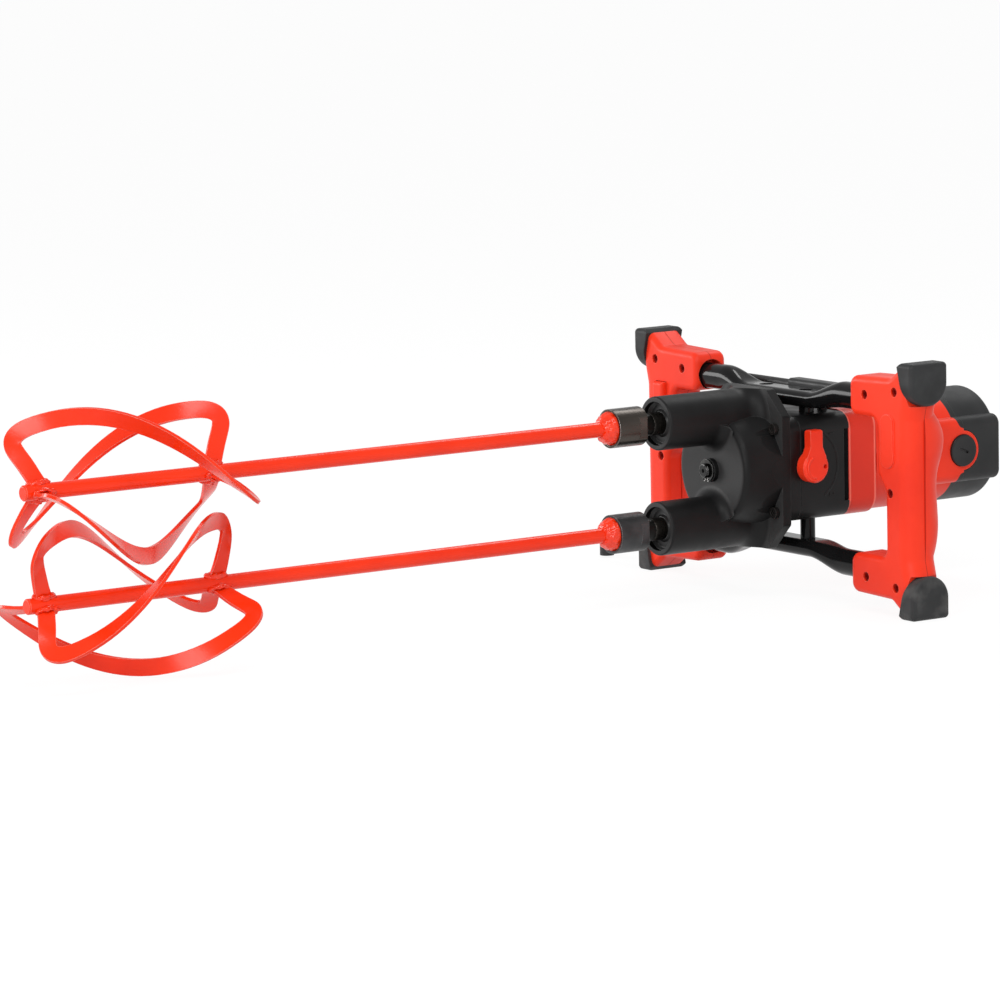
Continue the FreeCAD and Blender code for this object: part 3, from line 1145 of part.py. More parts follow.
# Posts between the gear case and the flat of each tube, with the bolts that hold the frame
posts = []
bolts = []
for number, (side, up) in enumerate(CORNERS):
    y = as_formula(side) * s.post_spread
    case_face = as_formula(up) * (s.case_height / 2)
    tube_face = frame_z + as_formula(up) * (s.tube_mid_rise - s.flat_height / 2)
    head_base = frame_z + as_formula(up) * (s.tube_mid_rise + s.flat_height / 2 - head_room)
    head_end = head_base + as_formula(up) * s.bolt_head_height
    low, high = (case_face, tube_face) if up > 0 else (tube_face, case_face)
    sleeve = bar("post_sleeve_%d" % number, s.post_diameter, high - low, tube_x, y, low, ALONG_Z)
    bore = bar("post_bore_%d" % number, s.bolt_diameter + s.running_gap * 2, high - low + s.overrun * 2,
               tube_x, y,
               low - s.overrun, ALONG_Z)
    posts.append(cut("post_%d" % number, sleeve, bore))
    low, high = (case_face, head_base) if up > 0 else (head_base, case_face)
    shank = bar("bolt_shank_%d" % number, s.bolt_diameter, high - low, tube_x, y, low, ALONG_Z)
    low = head_base if up > 0 else head_end
    head = bar("bolt_head_%d" % number, s.bolt_head_diameter, s.bolt_head_height, tube_x, y, low, ALONG_Z)
    bolts.append(fuse("bolt_%d" % number, shank, head))
piece("frame_posts", fuse("frame_posts", *posts))
piece("frame_bolts", fuse("frame_bolts", *bolts))


# Handles: two moulded halves that clamp the tube ends, with a trigger guard inside and a palm swell behind
def handle_outline(sign):
    """The C shape of a handle seen along X; sign is the side of the drill."""
    cap_corner = half_frame - s.cap_seat_drop
    flare = [(cap_reach, cap_corner), (cap_seat_low, cap_low), (s.grip_outer + s.cap_flare, cap_low),
             (s.grip_outer, cap_low - s.cap_flare_length)]
    arm = [(s.arm_inner, s.arm_low), (s.arm_inner, s.arm_top),
           (s.shoulder_reach, s.arm_top + s.shoulder_lift)]
    upper = [(s.guard_inner, s.arm_low)] + arm + flare
    lower = list(reversed(arm + flare)) + [(s.grip_inner, s.arm_low)]
    outline = [(reach, rise) for reach, rise in upper]
    outline += [(reach, -rise) for reach, rise in lower]
    outline += [(s.grip_inner, s.guard_low - s.strip_width), (s.guard_inner, s.guard_low)]
    return [(as_formula(sign) * reach, frame_z + rise) for reach, rise in outline]


def handle_half(label, sign, start, depth, face):
    """One half as a plate, its outer edge well rounded for the hand and its other edges lightly rounded."""
    plate = padded(label + "_plate", "YZ_Plane", handle_outline(sign), start, depth)
    low_limit = float(cap_low) - TOUCH
    reach_limit = float(cap_reach) - TOUCH
    outer_limit = float(s.grip_outer) - TOUCH
    face_x = float(face)

    def by_cap(spots):
        return all(abs(spot.y) > reach_limit and abs(spot.z - float(frame_z)) > low_limit for spot in spots)

    def on_face(spots):
        return all(abs(spot.x - face_x) < TOUCH for spot in spots)

    def outer_edge(edge):
        spots = edge_ends(edge)
        return on_face(spots) and all(abs(spot.y) > outer_limit for spot in spots)

    def other_edge(edge):
        spots = edge_ends(edge)
        beyond = all(abs(spot.y) > reach_limit for spot in spots)
        return on_face(spots) and not beyond

    plate = rounded(label + "_corners", plate, s.corner_round,
                    lambda edge: along_x(edge) and not by_cap(edge_ends(edge)))
    plate = rounded(label + "_outer", plate, s.grip_round, outer_edge)
    return rounded(label + "_round", plate, s.handle_round, other_edge)


SWELL_DEPTH_SHARES = (-0.1, 0.6, 1, 0.5, 0.45, 0.42, -0.1)
SWELL_TAIL_SHARE = 0.7
SWELL_REACH_SHARES = (-0.4, 0.6, 1, 0.8, 0.7, 0.5, -0.4)
HALF_OVAL_STEPS = 8


def palm_swell(sign):
    """The swell behind the grip, from half ovals drawn across it at several heights."""
    rises = (s.swell_top, (s.swell_top + s.swell_peak) / 2, s.swell_peak, s.swell_waist, -s.swell_waist,
             -s.swell_low * SWELL_TAIL_SHARE, -s.swell_low)
    middle = sign * float(s.grip_inner + s.grip_outer) / 2
    half_grip = float(s.grip_outer - s.grip_inner) / 2
    half_depth = float(handle_rear - seam_x)
    sections = []
    for rise, depth_share, reach_share in zip(rises, SWELL_DEPTH_SHARES, SWELL_REACH_SHARES):
        reach = half_grip + float(s.swell_bulge) * reach_share
        depth = half_depth + float(s.swell_height) * depth_share
        spots = []
        for number in range(HALF_OVAL_STEPS + 1):
            turn = math.pi * number / HALF_OVAL_STEPS
            spots.append(Vector(float(seam_x) + depth * math.sin(turn), middle + reach * math.cos(turn),
                                float(frame_z + rise)))
        curve = Part.BSplineCurve()
        curve.interpolate(spots)
        sections.append(Part.Wire([curve.toShape(), Part.LineSegment(spots[-1], spots[0]).toShape()]))
    return Part.makeLoft(sections, True, False)


def handle_screw_spots(sign):
    """Where the five screws of a handle go through, on the side given."""
    outer_rise = s.arm_screw_rise + s.arm_screw_lift
    spots = [(s.arm_screw_inner, s.arm_screw_rise), (s.arm_screw_outer, outer_rise),
             (s.grip_screw_reach, -s.grip_screw_drop), (s.arm_screw_inner, -s.arm_screw_rise),
             (s.arm_screw_outer, -outer_rise)]
    return [(as_formula(sign) * reach, frame_z + rise) for reach, rise in spots]


def tube_socket(name, sign):
    """Room for both tube ends in the arms of a handle, a little larger than the tubes, wider at the mouth."""
    solids = []
    for up in (-1, 1):
        gap = s.socket_gap
        form = (float(s.tube_arm_rise), float(s.tube_width + gap * 2), float(s.tube_height + gap * 2))
        near = float(s.arm_inner - s.socket_lead)
        far = float(s.arm_inner + s.socket_depth + gap)
        mouth = (float(s.tube_arm_rise + s.mouth_lift), float(s.tube_width + s.mouth_gap * 2),
                 float(s.tube_height + s.mouth_gap * 2))
        mouth_end = float(s.arm_inner + s.mouth_reach)
        for end, oval in ((far, form), (mouth_end, mouth)):
            solids.append(Part.makeLoft([tube_section(sign * near, *oval, up),
                                         tube_section(sign * end, *oval, up)],
                                        True, True))
    return built(name, solids[0].multiFuse(solids[1:]))


HANDLES = (("near_handle", -1), ("switch_handle", 1))
seam_x = tube_x
lock_x = seam_x + s.lock_setback
lock_z = frame_z + s.lock_height
strip_low = s.guard_low + s.handle_round
strip_high = strip_low + s.trigger_length
strip_reach = s.guard_inner + s.trigger_setback + s.trigger_width / 2
switch_spare = (s.switch_length - s.trigger_length) / 2
head_hole_depth = s.screw_sink + s.handle_screw_recess + s.free_gap
handle_screws = []
for name, sign in HANDLES:
    spots = handle_screw_spots(sign)
    front = handle_half(name + "_front_form", sign, handle_front, seam_x - handle_front, handle_front)
    front_cuts = [tube_socket(name + "_front_socket", sign)]
    for number, (y, z) in enumerate(spots):
        front_cuts.append(bar("%s_hole_%d" % (name, number), s.handle_screw_diameter + s.handle_screw_gap * 2,
                              s.handle_depth, handle_front - s.overrun, y, z))
        front_cuts.append(bar("%s_head_hole_%d" % (name, number), s.handle_screw_head + s.free_gap,
                              head_hole_depth + s.overrun, handle_front - s.overrun, y, z))
    rear = handle_half(name + "_rear_form", sign, seam_x, handle_rear - seam_x, handle_rear)
    swell = built(name + "_swell", palm_swell(sign))
    rear_cuts = [tube_socket(name + "_rear_socket", sign)]
    for number, (y, z) in enumerate(spots):
        rear_cuts.append(bar("%s_thread_%d" % (name, number), s.handle_screw_diameter + s.running_gap * 2,
                             s.handle_thread_depth + s.overrun, seam_x - s.overrun, y, z))
    rear_form = fuse(name + "_rear_body", rear, swell)
    strip_y = as_formula(sign) * strip_reach
    if sign < 0:
        half_strip = s.strip_width / 2
        blank = block("trigger_blank", (handle_front - s.strip_height, strip_y - half_strip,
                                        frame_z + strip_low),
                      (handle_front + s.overrun, strip_y + half_strip, frame_z + strip_high))
        blank = rounded("trigger_blank_round", blank, half_strip - s.free_gap, along_x)
        front = fuse(name + "_front_body", front, blank)
    else:
        slot_width = s.trigger_width + s.free_gap * 2
        front_cuts.append(block("trigger_slot", (handle_front - s.overrun, strip_y - slot_width / 2,
                                                 frame_z + strip_low - s.free_gap),
                                (seam_x + s.overrun, strip_y + slot_width / 2,
                                 frame_z + strip_high + s.free_gap)))
        room_low = (seam_x - s.switch_depth / 2, strip_y - s.switch_width / 2,
                    frame_z + strip_low - switch_spare)
        room_high = (seam_x + s.switch_depth / 2 + s.free_gap, strip_y + s.switch_width / 2,
                     frame_z + strip_high + switch_spare)
        front_cuts.append(block("switch_room", room_low, room_high))
        rear_cuts.append(block("switch_room_rear", room_low, room_high))
        rear_cuts.append(bar("lock_bore", s.lock_diameter + s.running_gap * 2, s.grip_outer, lock_x, strip_y,
                             lock_z,
                             ALONG_Y))
        rear_cuts.append(lead_room("lead_room_handle"))
    piece(name + "_front", cut(name + "_front", front, *front_cuts))
    piece(name + "_rear", cut(name + "_rear", rear_form, *rear_cuts))
    for number, (y, z) in enumerate(spots):
        handle_screws.append(screw("%s_screw_%d" % (name, number), handle_front + s.screw_sink, y, z,
                                   s.handle_screw_diameter, s.handle_screw_head, s.handle_screw_recess,
                                   s.handle_depth / 2))
piece("handle_screws", fuse("handle_screws", *handle_screws))


# Corner caps: rubber shoes on the outer corners of the handles, D-shaped seen from the end
def corner_cap(label, sign, up):
    outline = [(cap_reach, half_frame - s.cap_seat_drop), (cap_reach + s.cap_seat_drop, half_frame),
               (s.cap_outer, half_frame), (s.cap_outer, cap_low), (cap_seat_low, cap_low)]
    outline = [(as_formula(sign) * reach, frame_z + as_formula(up) * rise) for reach, rise in outline]
    front = handle_front - s.cap_proud
    depth = s.handle_depth + s.cap_proud * 2
    wedge = padded(label + "_wedge", "YZ_Plane", outline, front, depth)
    bound_low = frame_z + cap_low if up > 0 else frame_z - half_frame
    bound_high = frame_z + half_frame if up > 0 else frame_z - cap_low
    y_low = cap_reach - s.overrun if sign > 0 else -s.cap_outer
    y_high = s.cap_outer if sign > 0 else -(cap_reach - s.overrun)
    form = block(label + "_bounds", (front, y_low, bound_low), (front + depth, y_high, bound_high))
    inner_z = float(frame_z) + up * float(cap_low)
    flat_z = float(frame_z) + up * float(half_frame)
    outer_y = sign * float(s.cap_outer)

    def dee_edge(edge):
        return runs_along(edge, 1) and all(abs(spot.z - inner_z) < TOUCH for spot in edge_ends(edge))

    def rim_edge(edge):
        spots = edge_ends(edge)
        if runs_along(edge, 1) and all(abs(spot.z - flat_z) < TOUCH for spot in spots):
            return True
        return all(abs(spot.y - outer_y) < TOUCH for spot in spots)

    form = rounded(label + "_dee", form, depth / 2 - s.free_gap, dee_edge)
    shape = common(label + "_form", wedge, form)
    return piece(label, rounded(label, shape, s.cap_round, rim_edge))


for name, sign in HANDLES:
    for place_name, up in (("top", 1), ("bottom", -1)):
        corner_cap("%s_cap_%s" % (name, place_name), sign, up)

# Switch: its block in the handle, the trigger that slides in, and the lock button behind it
switch_gap = s.running_gap * 2
switch_front = seam_x - s.switch_depth / 2 + switch_gap
piece("switch_block", block("switch_block", (
    switch_front, strip_reach - s.switch_width / 2 + switch_gap,
    frame_z + strip_low - switch_spare + switch_gap),
    (seam_x + s.switch_depth / 2, strip_reach + s.switch_width / 2 - switch_gap,
     frame_z + strip_high + switch_spare - switch_gap)))
trigger_front = handle_front - s.trigger_reach
trigger_rear = switch_front - s.trigger_travel - s.free_gap
trigger = block("trigger_bar", (trigger_front, strip_reach - s.trigger_width / 2, frame_z + strip_low),
                (trigger_rear, strip_reach + s.trigger_width / 2, frame_z + strip_high))


def trigger_edge(edge):
    return all(abs(spot.x - float(trigger_front)) < TOUCH for spot in edge_ends(edge))


piece("trigger", rounded("trigger", trigger, s.trigger_round, trigger_edge))
lock_inner = strip_reach + s.switch_width / 2 + s.lock_travel + s.free_gap
piece("lock_button", bar("lock_button", s.lock_diameter, s.grip_outer + s.lock_reach - lock_inner, lock_x,
                         lock_inner,
                         lock_z, ALONG_Y))

# Gland of the mains lead: a ribbed rubber elbow on the lower cap of the switch handle, its mouth downwards
gland_root = s.cap_outer
gland_z = frame_z - s.gland_height
gland_corner_y = gland_root + s.gland_reach + s.gland_bend
gland_sleeve = cone("gland_sleeve", s.gland_diameter, s.gland_mouth_diameter, s.gland_reach, tube_x,
                    gland_root,
                    gland_z, ALONG_Y)
root_spot = Vector(float(tube_x), float(gland_root), float(gland_z))
bend_in = Vector(float(tube_x), float(gland_root + s.gland_reach), float(gland_z))
bend_corner = Vector(float(tube_x), float(gland_corner_y), float(gland_z))
bend_out = bend_corner - Vector(0, 0, float(s.gland_bend))
mouth = bend_out - Vector(0, 0, float(s.gland_drop))
elbow_edges = [quarter_bend(bend_in, bend_corner, bend_out), Part.LineSegment(bend_out, mouth).toShape()]
elbow = built("gland_elbow", along_path(Part.Wire(elbow_edges), float(s.gland_mouth_diameter) / 2))
channel_edges = [Part.LineSegment(root_spot, bend_in).toShape()] + elbow_edges
channel = built("gland_channel", along_path(Part.Wire(channel_edges), float(s.mains_diameter) / 2))
RIBS = 5
ribs = []
for number in range(RIBS):
    ribs.append(bar("gland_rib_%d" % number, s.gland_diameter + s.gland_rib, s.gland_rib_pitch / 2, tube_x,
                    gland_root + s.gland_rib_pitch * (number + RIB_LEAD_SHARE), gland_z, ALONG_Y))
piece("cable_gland", cut("cable_gland", fuse("gland_form", gland_sleeve, elbow, *ribs), channel))

doc.recompute()
faults = [item.Name for item in doc.Objects if "Invalid" in item.State or "Error" in item.State]
for label, item in pieces.items():
    shape = item.Shape
    if shape.isNull() or not shape.isValid():
        faults.append(label)
if faults:
    raise RuntimeError("pieces that failed: %s" % ", ".join(faults))

os.makedirs("parts", exist_ok=True)
for label, item in pieces.items():
    item.Shape.exportStep("parts/%s.step" % label)
    print(label, len(item.Shape.Solids), round(item.Shape.Volume, 1))
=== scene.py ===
import bpy
import math
from mathutils import Matrix, Vector


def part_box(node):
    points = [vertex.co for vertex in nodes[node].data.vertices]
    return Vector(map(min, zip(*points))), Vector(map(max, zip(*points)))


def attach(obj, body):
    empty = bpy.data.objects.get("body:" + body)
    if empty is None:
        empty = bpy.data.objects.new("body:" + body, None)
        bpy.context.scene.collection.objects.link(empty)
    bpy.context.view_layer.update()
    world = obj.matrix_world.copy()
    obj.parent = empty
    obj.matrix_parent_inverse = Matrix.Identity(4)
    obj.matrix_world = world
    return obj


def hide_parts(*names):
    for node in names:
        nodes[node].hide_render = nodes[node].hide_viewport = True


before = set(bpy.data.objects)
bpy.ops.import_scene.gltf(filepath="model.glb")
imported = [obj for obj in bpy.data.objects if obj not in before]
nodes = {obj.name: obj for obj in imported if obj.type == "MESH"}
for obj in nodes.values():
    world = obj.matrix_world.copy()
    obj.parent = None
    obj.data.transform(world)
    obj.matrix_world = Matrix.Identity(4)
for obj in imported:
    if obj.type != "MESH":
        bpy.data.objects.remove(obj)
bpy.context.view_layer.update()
bpy.ops.object.select_all(action="DESELECT")

# Camera, light and floor.
# The drill lies on a white table, seen from the front left and a little above with a long lens.
# A wide soft box hangs over it, two stand on the left and a narrow one is behind it on the right.
LENS = 193.8
SENSOR = 36.0
FAR_CLIP = 100.0
TURN = math.radians(-34.41)
RISE = math.radians(8.14)
ROLL = math.radians(-1.19)
DISTANCE = 4.175
AIM = Vector((-0.01925, -0.0375, 0.10286))

back = Vector((math.sin(TURN) * math.cos(RISE), -math.cos(TURN) * math.cos(RISE), math.sin(RISE)))
level = Vector((math.cos(TURN), math.sin(TURN), 0.0))
upright = back.cross(level)
across = level * math.cos(ROLL) + upright * math.sin(ROLL)
upward = upright * math.cos(ROLL) - level * math.sin(ROLL)
bpy.ops.object.camera_add()
camera = bpy.context.object
camera.name = "photo_camera"
camera.data.lens = LENS
camera.data.sensor_width = SENSOR
camera.data.clip_end = FAR_CLIP
pointing = Matrix((across, upward, back)).transposed().to_4x4()
camera.matrix_world = Matrix.Translation(AIM + back * DISTANCE) @ pointing
bpy.context.scene.camera = camera
bpy.context.scene.view_settings.view_transform = "Standard"


def add_node(tree, kind, sockets, **settings):
    """A socket is given its value, or the output of another node that feeds it."""
    made = tree.nodes.new("ShaderNode" + kind)
    for setting, choice in settings.items():
        setattr(made, setting, choice)
    for socket, value in sockets.items():
        if isinstance(value, bpy.types.NodeSocket):
            tree.links.new(value, made.inputs[socket])
        else:
            made.inputs[socket].default_value = value
    return made


def calc(tree, operation, *values):
    return add_node(tree, "Math", dict(enumerate(values)), operation=operation).outputs[0]


FLOOR_SIZE = 60.0
BOARD_WHITE = (0.75, 0.75, 0.75, 1)
GLOW = 1.07
GLOW_SHARE = 0.85
bpy.ops.mesh.primitive_plane_add(size=FLOOR_SIZE, location=(0, 0, 0))
floor = bpy.context.object
floor.name = "floor"
table = bpy.data.materials.new("white_table")
table.use_nodes = True
tree = table.node_tree
tree.nodes.clear()
board = add_node(tree, "BsdfDiffuse", {"Color": BOARD_WHITE})
glow = add_node(tree, "Emission", {"Strength": GLOW})
ray = add_node(tree, "LightPath", {})
seen = ray.outputs["Is Camera Ray"]
for kind_of_ray in ("Is Glossy Ray", "Is Transmission Ray"):
    seen = calc(tree, "MAXIMUM", seen, ray.outputs[kind_of_ray])
share = calc(tree, "MULTIPLY", seen, GLOW_SHARE)
surface = add_node(tree, "MixShader", {0: share, 1: board.outputs[0], 2: glow.outputs[0]})
add_node(tree, "OutputMaterial", {0: surface.outputs[0]})
floor.data.materials.append(table)


def ramp(tree, value, start, end, low=0.0, high=1.0):
    sockets = {"Value": value, "From Min": start, "From Max": end, "To Min": low, "To Max": high}
    return add_node(tree, "MapRange", sockets).outputs[0]


SKY_FROM, SKY_TO = 0.05, 0.7
SKY_LOW, SKY_HIGH = 0.9, 0.5
world = bpy.data.worlds.new("studio")
bpy.context.scene.world = world
world.use_nodes = True
tree = world.node_tree
sky = tree.nodes["Background"]
sky.inputs["Color"].default_value = (1, 1, 1, 1)
facing = add_node(tree, "TexCoord", {})
height = add_node(tree, "SeparateXYZ", {0: facing.outputs["Generated"]})
fade = ramp(tree, height.outputs["Z"], SKY_FROM, SKY_TO, SKY_LOW, SKY_HIGH)
tree.links.new(fade, sky.inputs["Strength"])


def soft_box(name, place, width, depth, power):
    bpy.ops.object.light_add(type="AREA", location=place)
    lamp = bpy.context.object
    lamp.name = name
    lamp.data.shape = "RECTANGLE"
    lamp.data.size = width
    lamp.data.size_y = depth
    lamp.data.energy = power
    lamp.rotation_euler = (AIM - Vector(place)).to_track_quat("-Z", "Y").to_euler()


soft_box("soft_box_over", place=(-0.5, -1.3, 2.0), width=1.3, depth=0.5, power=16.0)
soft_box("soft_box_left", place=(-2.0, -1.4, 1.1), width=0.9, depth=0.9, power=19.0)
soft_box("soft_box_behind", place=(-1.5, 2.1, 0.8), width=1.1, depth=0.9, power=24.0)
soft_box("soft_box_right", place=(1.3, 0.6, 1.7), width=0.9, depth=0.35, power=6.0)

# Front gear housing.
# A black powder coated casting with two snouts for the spindles, screwed to the rear case through its
# flange. The coat is satin with a fine orange peel; flat front faces carry a painted highlight in grey, and
# the edges are lighter, partly rubbed and partly a painted highlight.
TONE_SPAN = (0.35, 0.65)
DULL_SPAN = (0.3, 0.7)
DULL_FINER = 3.0
EDGE_WEAR_AND_HIGHLIGHT_SPAN = (0.98, 0.84)
EDGE_WEAR_AND_HIGHLIGHT_GRAIN = 160.0
EDGE_SAMPLES = 4


def edges(tree, radius, samples):
    """The normal rounded over at the edges, and how far it agrees with the flat one."""
    rounded = add_node(tree, "Bevel", {"Radius": radius}, samples=samples).outputs["Normal"]
    flat = add_node(tree, "NewGeometry", {}).outputs["Normal"]
    turn = add_node(tree, "VectorMath", {0: rounded, 1: flat}, operation="DOT_PRODUCT")
    return rounded, turn.outputs["Value"]


def mix_colour(tree, share, before, after):
    """The Mix node takes its two colours at sockets 6 and 7, and gives the mixed one at output 2."""
    return add_node(tree, "Mix", {0: share, 6: before, 7: (*after, 1)}, data_type="RGBA").outputs[2]


def finish(name, low, high, edge_wear_and_highlight, rough, grain, relief, patch=25.0, metal=0.0, shine=0.5, edge=0.0007,
           stretch=(1.0, 1.0, 1.0)):
    """Patches from low to high in tone and across rough, a grain of some relief, and lighter edges, partly
    worn and partly a painted highlight.
    """
    skin = bpy.data.materials.new(name)
    skin.use_nodes = True
    tree = skin.node_tree
    shader = tree.nodes["Principled BSDF"]
    shader.inputs["Metallic"].default_value = metal
    shader.inputs["Specular IOR Level"].default_value = shine
    place = add_node(tree, "TexCoord", {}).outputs["Object"]
    drawn = add_node(tree, "Mapping", {"Vector": place, "Scale": stretch}).outputs["Vector"]

    def noise(scale, detail):
        sockets = {"Vector": drawn, "Scale": scale, "Detail": detail}
        return add_node(tree, "TexNoise", sockets).outputs["Fac"]

    tones = add_node(tree, "ValToRGB", {"Fac": noise(patch, detail=6.0)})
    for stop, position, tone in zip(tones.color_ramp.elements, TONE_SPAN, (low, high)):
        stop.position = position
        stop.color = (*tone, 1)

    rounded, turn = edges(tree, edge, EDGE_SAMPLES)
    # The edge tone stands for rubbed wear and for a painted highlight along the rounded edges.
    worn_and_lit_edge = ramp(tree, turn, *EDGE_WEAR_AND_HIGHLIGHT_SPAN)
    uneven = calc(tree, "MULTIPLY", worn_and_lit_edge, noise(EDGE_WEAR_AND_HIGHLIGHT_GRAIN, detail=3.0))
    colour = mix_colour(tree, uneven, tones.outputs["Color"], edge_wear_and_highlight)
    tree.links.new(colour, shader.inputs["Base Color"])

    dull = ramp(tree, noise(patch * DULL_FINER, detail=4.0), *DULL_SPAN, *rough)
    tree.links.new(dull, shader.inputs["Roughness"])

    sockets = {"Strength": 1.0, "Distance": relief, "Height": noise(grain, detail=2.0), "Normal": rounded}
    peel = add_node(tree, "Bump", sockets)
    tree.links.new(peel.outputs["Normal"], shader.inputs["Normal"])
    return skin


def tint(skin, mask, colour, rough):
    """Lay another colour and roughness over a finish where the mask is 1."""
    tree = skin.node_tree
    shader = tree.nodes["Principled BSDF"]
    before = shader.inputs["Base Color"].links[0].from_socket
    tree.links.new(mix_colour(tree, mask, before, colour), shader.inputs["Base Color"])
    before = shader.inputs["Roughness"].links[0].from_socket
    gloss = add_node(tree, "Mix", {0: mask, 2: before, 3: rough})
    tree.links.new(gloss.outputs[0], shader.inputs["Roughness"])


def dress(skin, *names):
    for name in names:
        nodes[name].data.materials.clear()
        nodes[name].data.materials.append(skin)


FRONT = (-1.0, 0.0, 0.0)
FRONT_SPAN = (0.90, 0.99)
FRONT_FACE_HIGHLIGHT_GREY = (0.034, 0.034, 0.0342)
casting = finish("black_casting", low=(0.004, 0.004, 0.0042), high=(0.008, 0.008, 0.0082),
                 edge_wear_and_highlight=(0.06, 0.06, 0.062), rough=(0.42, 0.54), grain=900.0, relief=0.00002, shine=0.2)
# Faces turned to the front get a lighter grey laid over them: a painted highlight.
outside = add_node(casting.node_tree, "NewGeometry", {}).outputs["Normal"]
ahead = add_node(casting.node_tree, "VectorMath", {0: outside, 1: FRONT}, operation="DOT_PRODUCT")
tint(casting, ramp(casting.node_tree, ahead.outputs["Value"], *FRONT_SPAN), FRONT_FACE_HIGHLIGHT_GREY, rough=0.46)
dress(casting, "front_gear_housing", "bearing_plate")
oxide = finish("black_screw_steel", low=(0.006, 0.005, 0.005), high=(0.014, 0.012, 0.011),
               edge_wear_and_highlight=(0.08, 0.07, 0.065), rough=(0.38, 0.5), grain=1500.0, relief=0.00001, shine=0.25)
dress(oxide, "flange_screws", "cover_screws", "frame_bolts")

# Spindles, seals and couplings.
# Turned steel shafts run in ball bearings behind lip seals. Each coupling is a turned sleeve, oil black,
# with two spanner flats milled at its back end and a neck that goes into the snout.
DRIVE_Y = -0.0375
SPINDLE_HEIGHTS = {"upper": 0.149, "lower": 0.065}
COUPLING_FACE = 0.0860539
BARREL_RADIUS = 0.0155
ROUND_LENGTH = 0.0200
FLAT_LENGTH = 0.0080
FLAT_REACH = 0.0130
NECK_RADIUS = 0.0090
NECK_LENGTH = 0.0100
MOUTH_WALL = 0.0020
MOUTH_DEPTH = 0.0030
ROUND_SIDES = 64
FACING = 0.9
MERGE = 0.00001
ALONG_X = (0.0, math.pi / 2.0, 0.0)


def along(skin, axis, start, end):
    """A mask that goes from 0 at start to 1 at end, along one axis of the frame."""
    tree = skin.node_tree
    place = add_node(tree, "TexCoord", {})
    split = add_node(tree, "SeparateXYZ", {0: place.outputs["Object"]})
    return ramp(tree, split.outputs[axis], start, end)


def take(piece):
    bpy.ops.object.select_all(action="DESELECT")
    piece.select_set(True)
    bpy.context.view_layer.objects.active = piece


def apply_place():
    bpy.ops.object.transform_apply(location=True, rotation=True, scale=True)


def smooth(piece, angle=40.0):
    take(piece)
    bpy.ops.object.shade_smooth_by_angle(angle=math.radians(angle))


def placed_copy(source, name, place, turn):
    take(source)
    bpy.ops.object.duplicate()
    copy = bpy.context.object
    copy.name = name
    copy.location = place
    copy.rotation_euler = turn
    apply_place()
    return copy


def pick_faces(piece, test):
    bpy.ops.object.mode_set(mode="EDIT")
    bpy.ops.mesh.select_mode(type="FACE")
    bpy.ops.mesh.select_all(action="DESELECT")
    bpy.ops.object.mode_set(mode="OBJECT")
    for face in piece.data.polygons:
        face.select = test(face)
    bpy.ops.object.mode_set(mode="EDIT")


def extrude(*move):
    bpy.ops.mesh.extrude_region_move(TRANSFORM_OT_translate={"value": move})


def face_outwards(merge=None):
    """Leaves edit mode with the mesh merged, where a distance is given, and its faces turned out."""
    bpy.ops.mesh.select_all(action="SELECT")
    if merge:
        bpy.ops.mesh.remove_doubles(threshold=merge)
    bpy.ops.mesh.normals_make_consistent(inside=False)
    bpy.ops.object.mode_set(mode="OBJECT")


bpy.ops.mesh.primitive_cylinder_add(vertices=ROUND_SIDES, radius=BARREL_RADIUS, depth=ROUND_LENGTH,
                                    location=(ROUND_LENGTH / 2.0, 0.0, 0.0), rotation=ALONG_X)
barrel = bpy.context.object
barrel.name = "coupling_barrel"
apply_place()
pick_faces(barrel, lambda face: face.normal.x < -FACING)
bpy.ops.mesh.inset(thickness=MOUTH_WALL, depth=0.0)
extrude(MOUTH_DEPTH, 0.0, 0.0)
pick_faces(barrel, lambda face: face.normal.x > FACING)
bpy.ops.object.mode_set(mode="OBJECT")
round_count = len(barrel.data.vertices)
bpy.ops.object.mode_set(mode="EDIT")
extrude(0.0, 0.0, 0.0)
extrude(FLAT_LENGTH, 0.0, 0.0)
bpy.ops.object.mode_set(mode="OBJECT")
columns = {}
for corner in barrel.data.vertices:
    if corner.index >= round_count and abs(corner.co.y) > FLAT_REACH:
        columns.setdefault(round(corner.co.y, 6), []).append(corner.index)
for reach, corners in columns.items():
    bpy.ops.object.mode_set(mode="EDIT")
    bpy.ops.mesh.select_mode(type="VERT")
    bpy.ops.mesh.select_all(action="DESELECT")
    bpy.ops.object.mode_set(mode="OBJECT")
    for index in corners:
        barrel.data.vertices[index].select = True
    bpy.ops.object.mode_set(mode="EDIT")
    bpy.ops.transform.translate(value=(0.0, math.copysign(FLAT_REACH, reach) - reach, 0.0))
    bpy.ops.object.mode_set(mode="OBJECT")
bpy.ops.object.mode_set(mode="EDIT")
neck_middle = ROUND_LENGTH + FLAT_LENGTH + (NECK_LENGTH - FLAT_LENGTH) / 2.0
bpy.ops.mesh.primitive_cylinder_add(vertices=ROUND_SIDES, radius=NECK_RADIUS, depth=NECK_LENGTH + FLAT_LENGTH,
                                    location=(neck_middle, 0.0, 0.0), rotation=ALONG_X)
face_outwards(MERGE)
smooth(barrel)

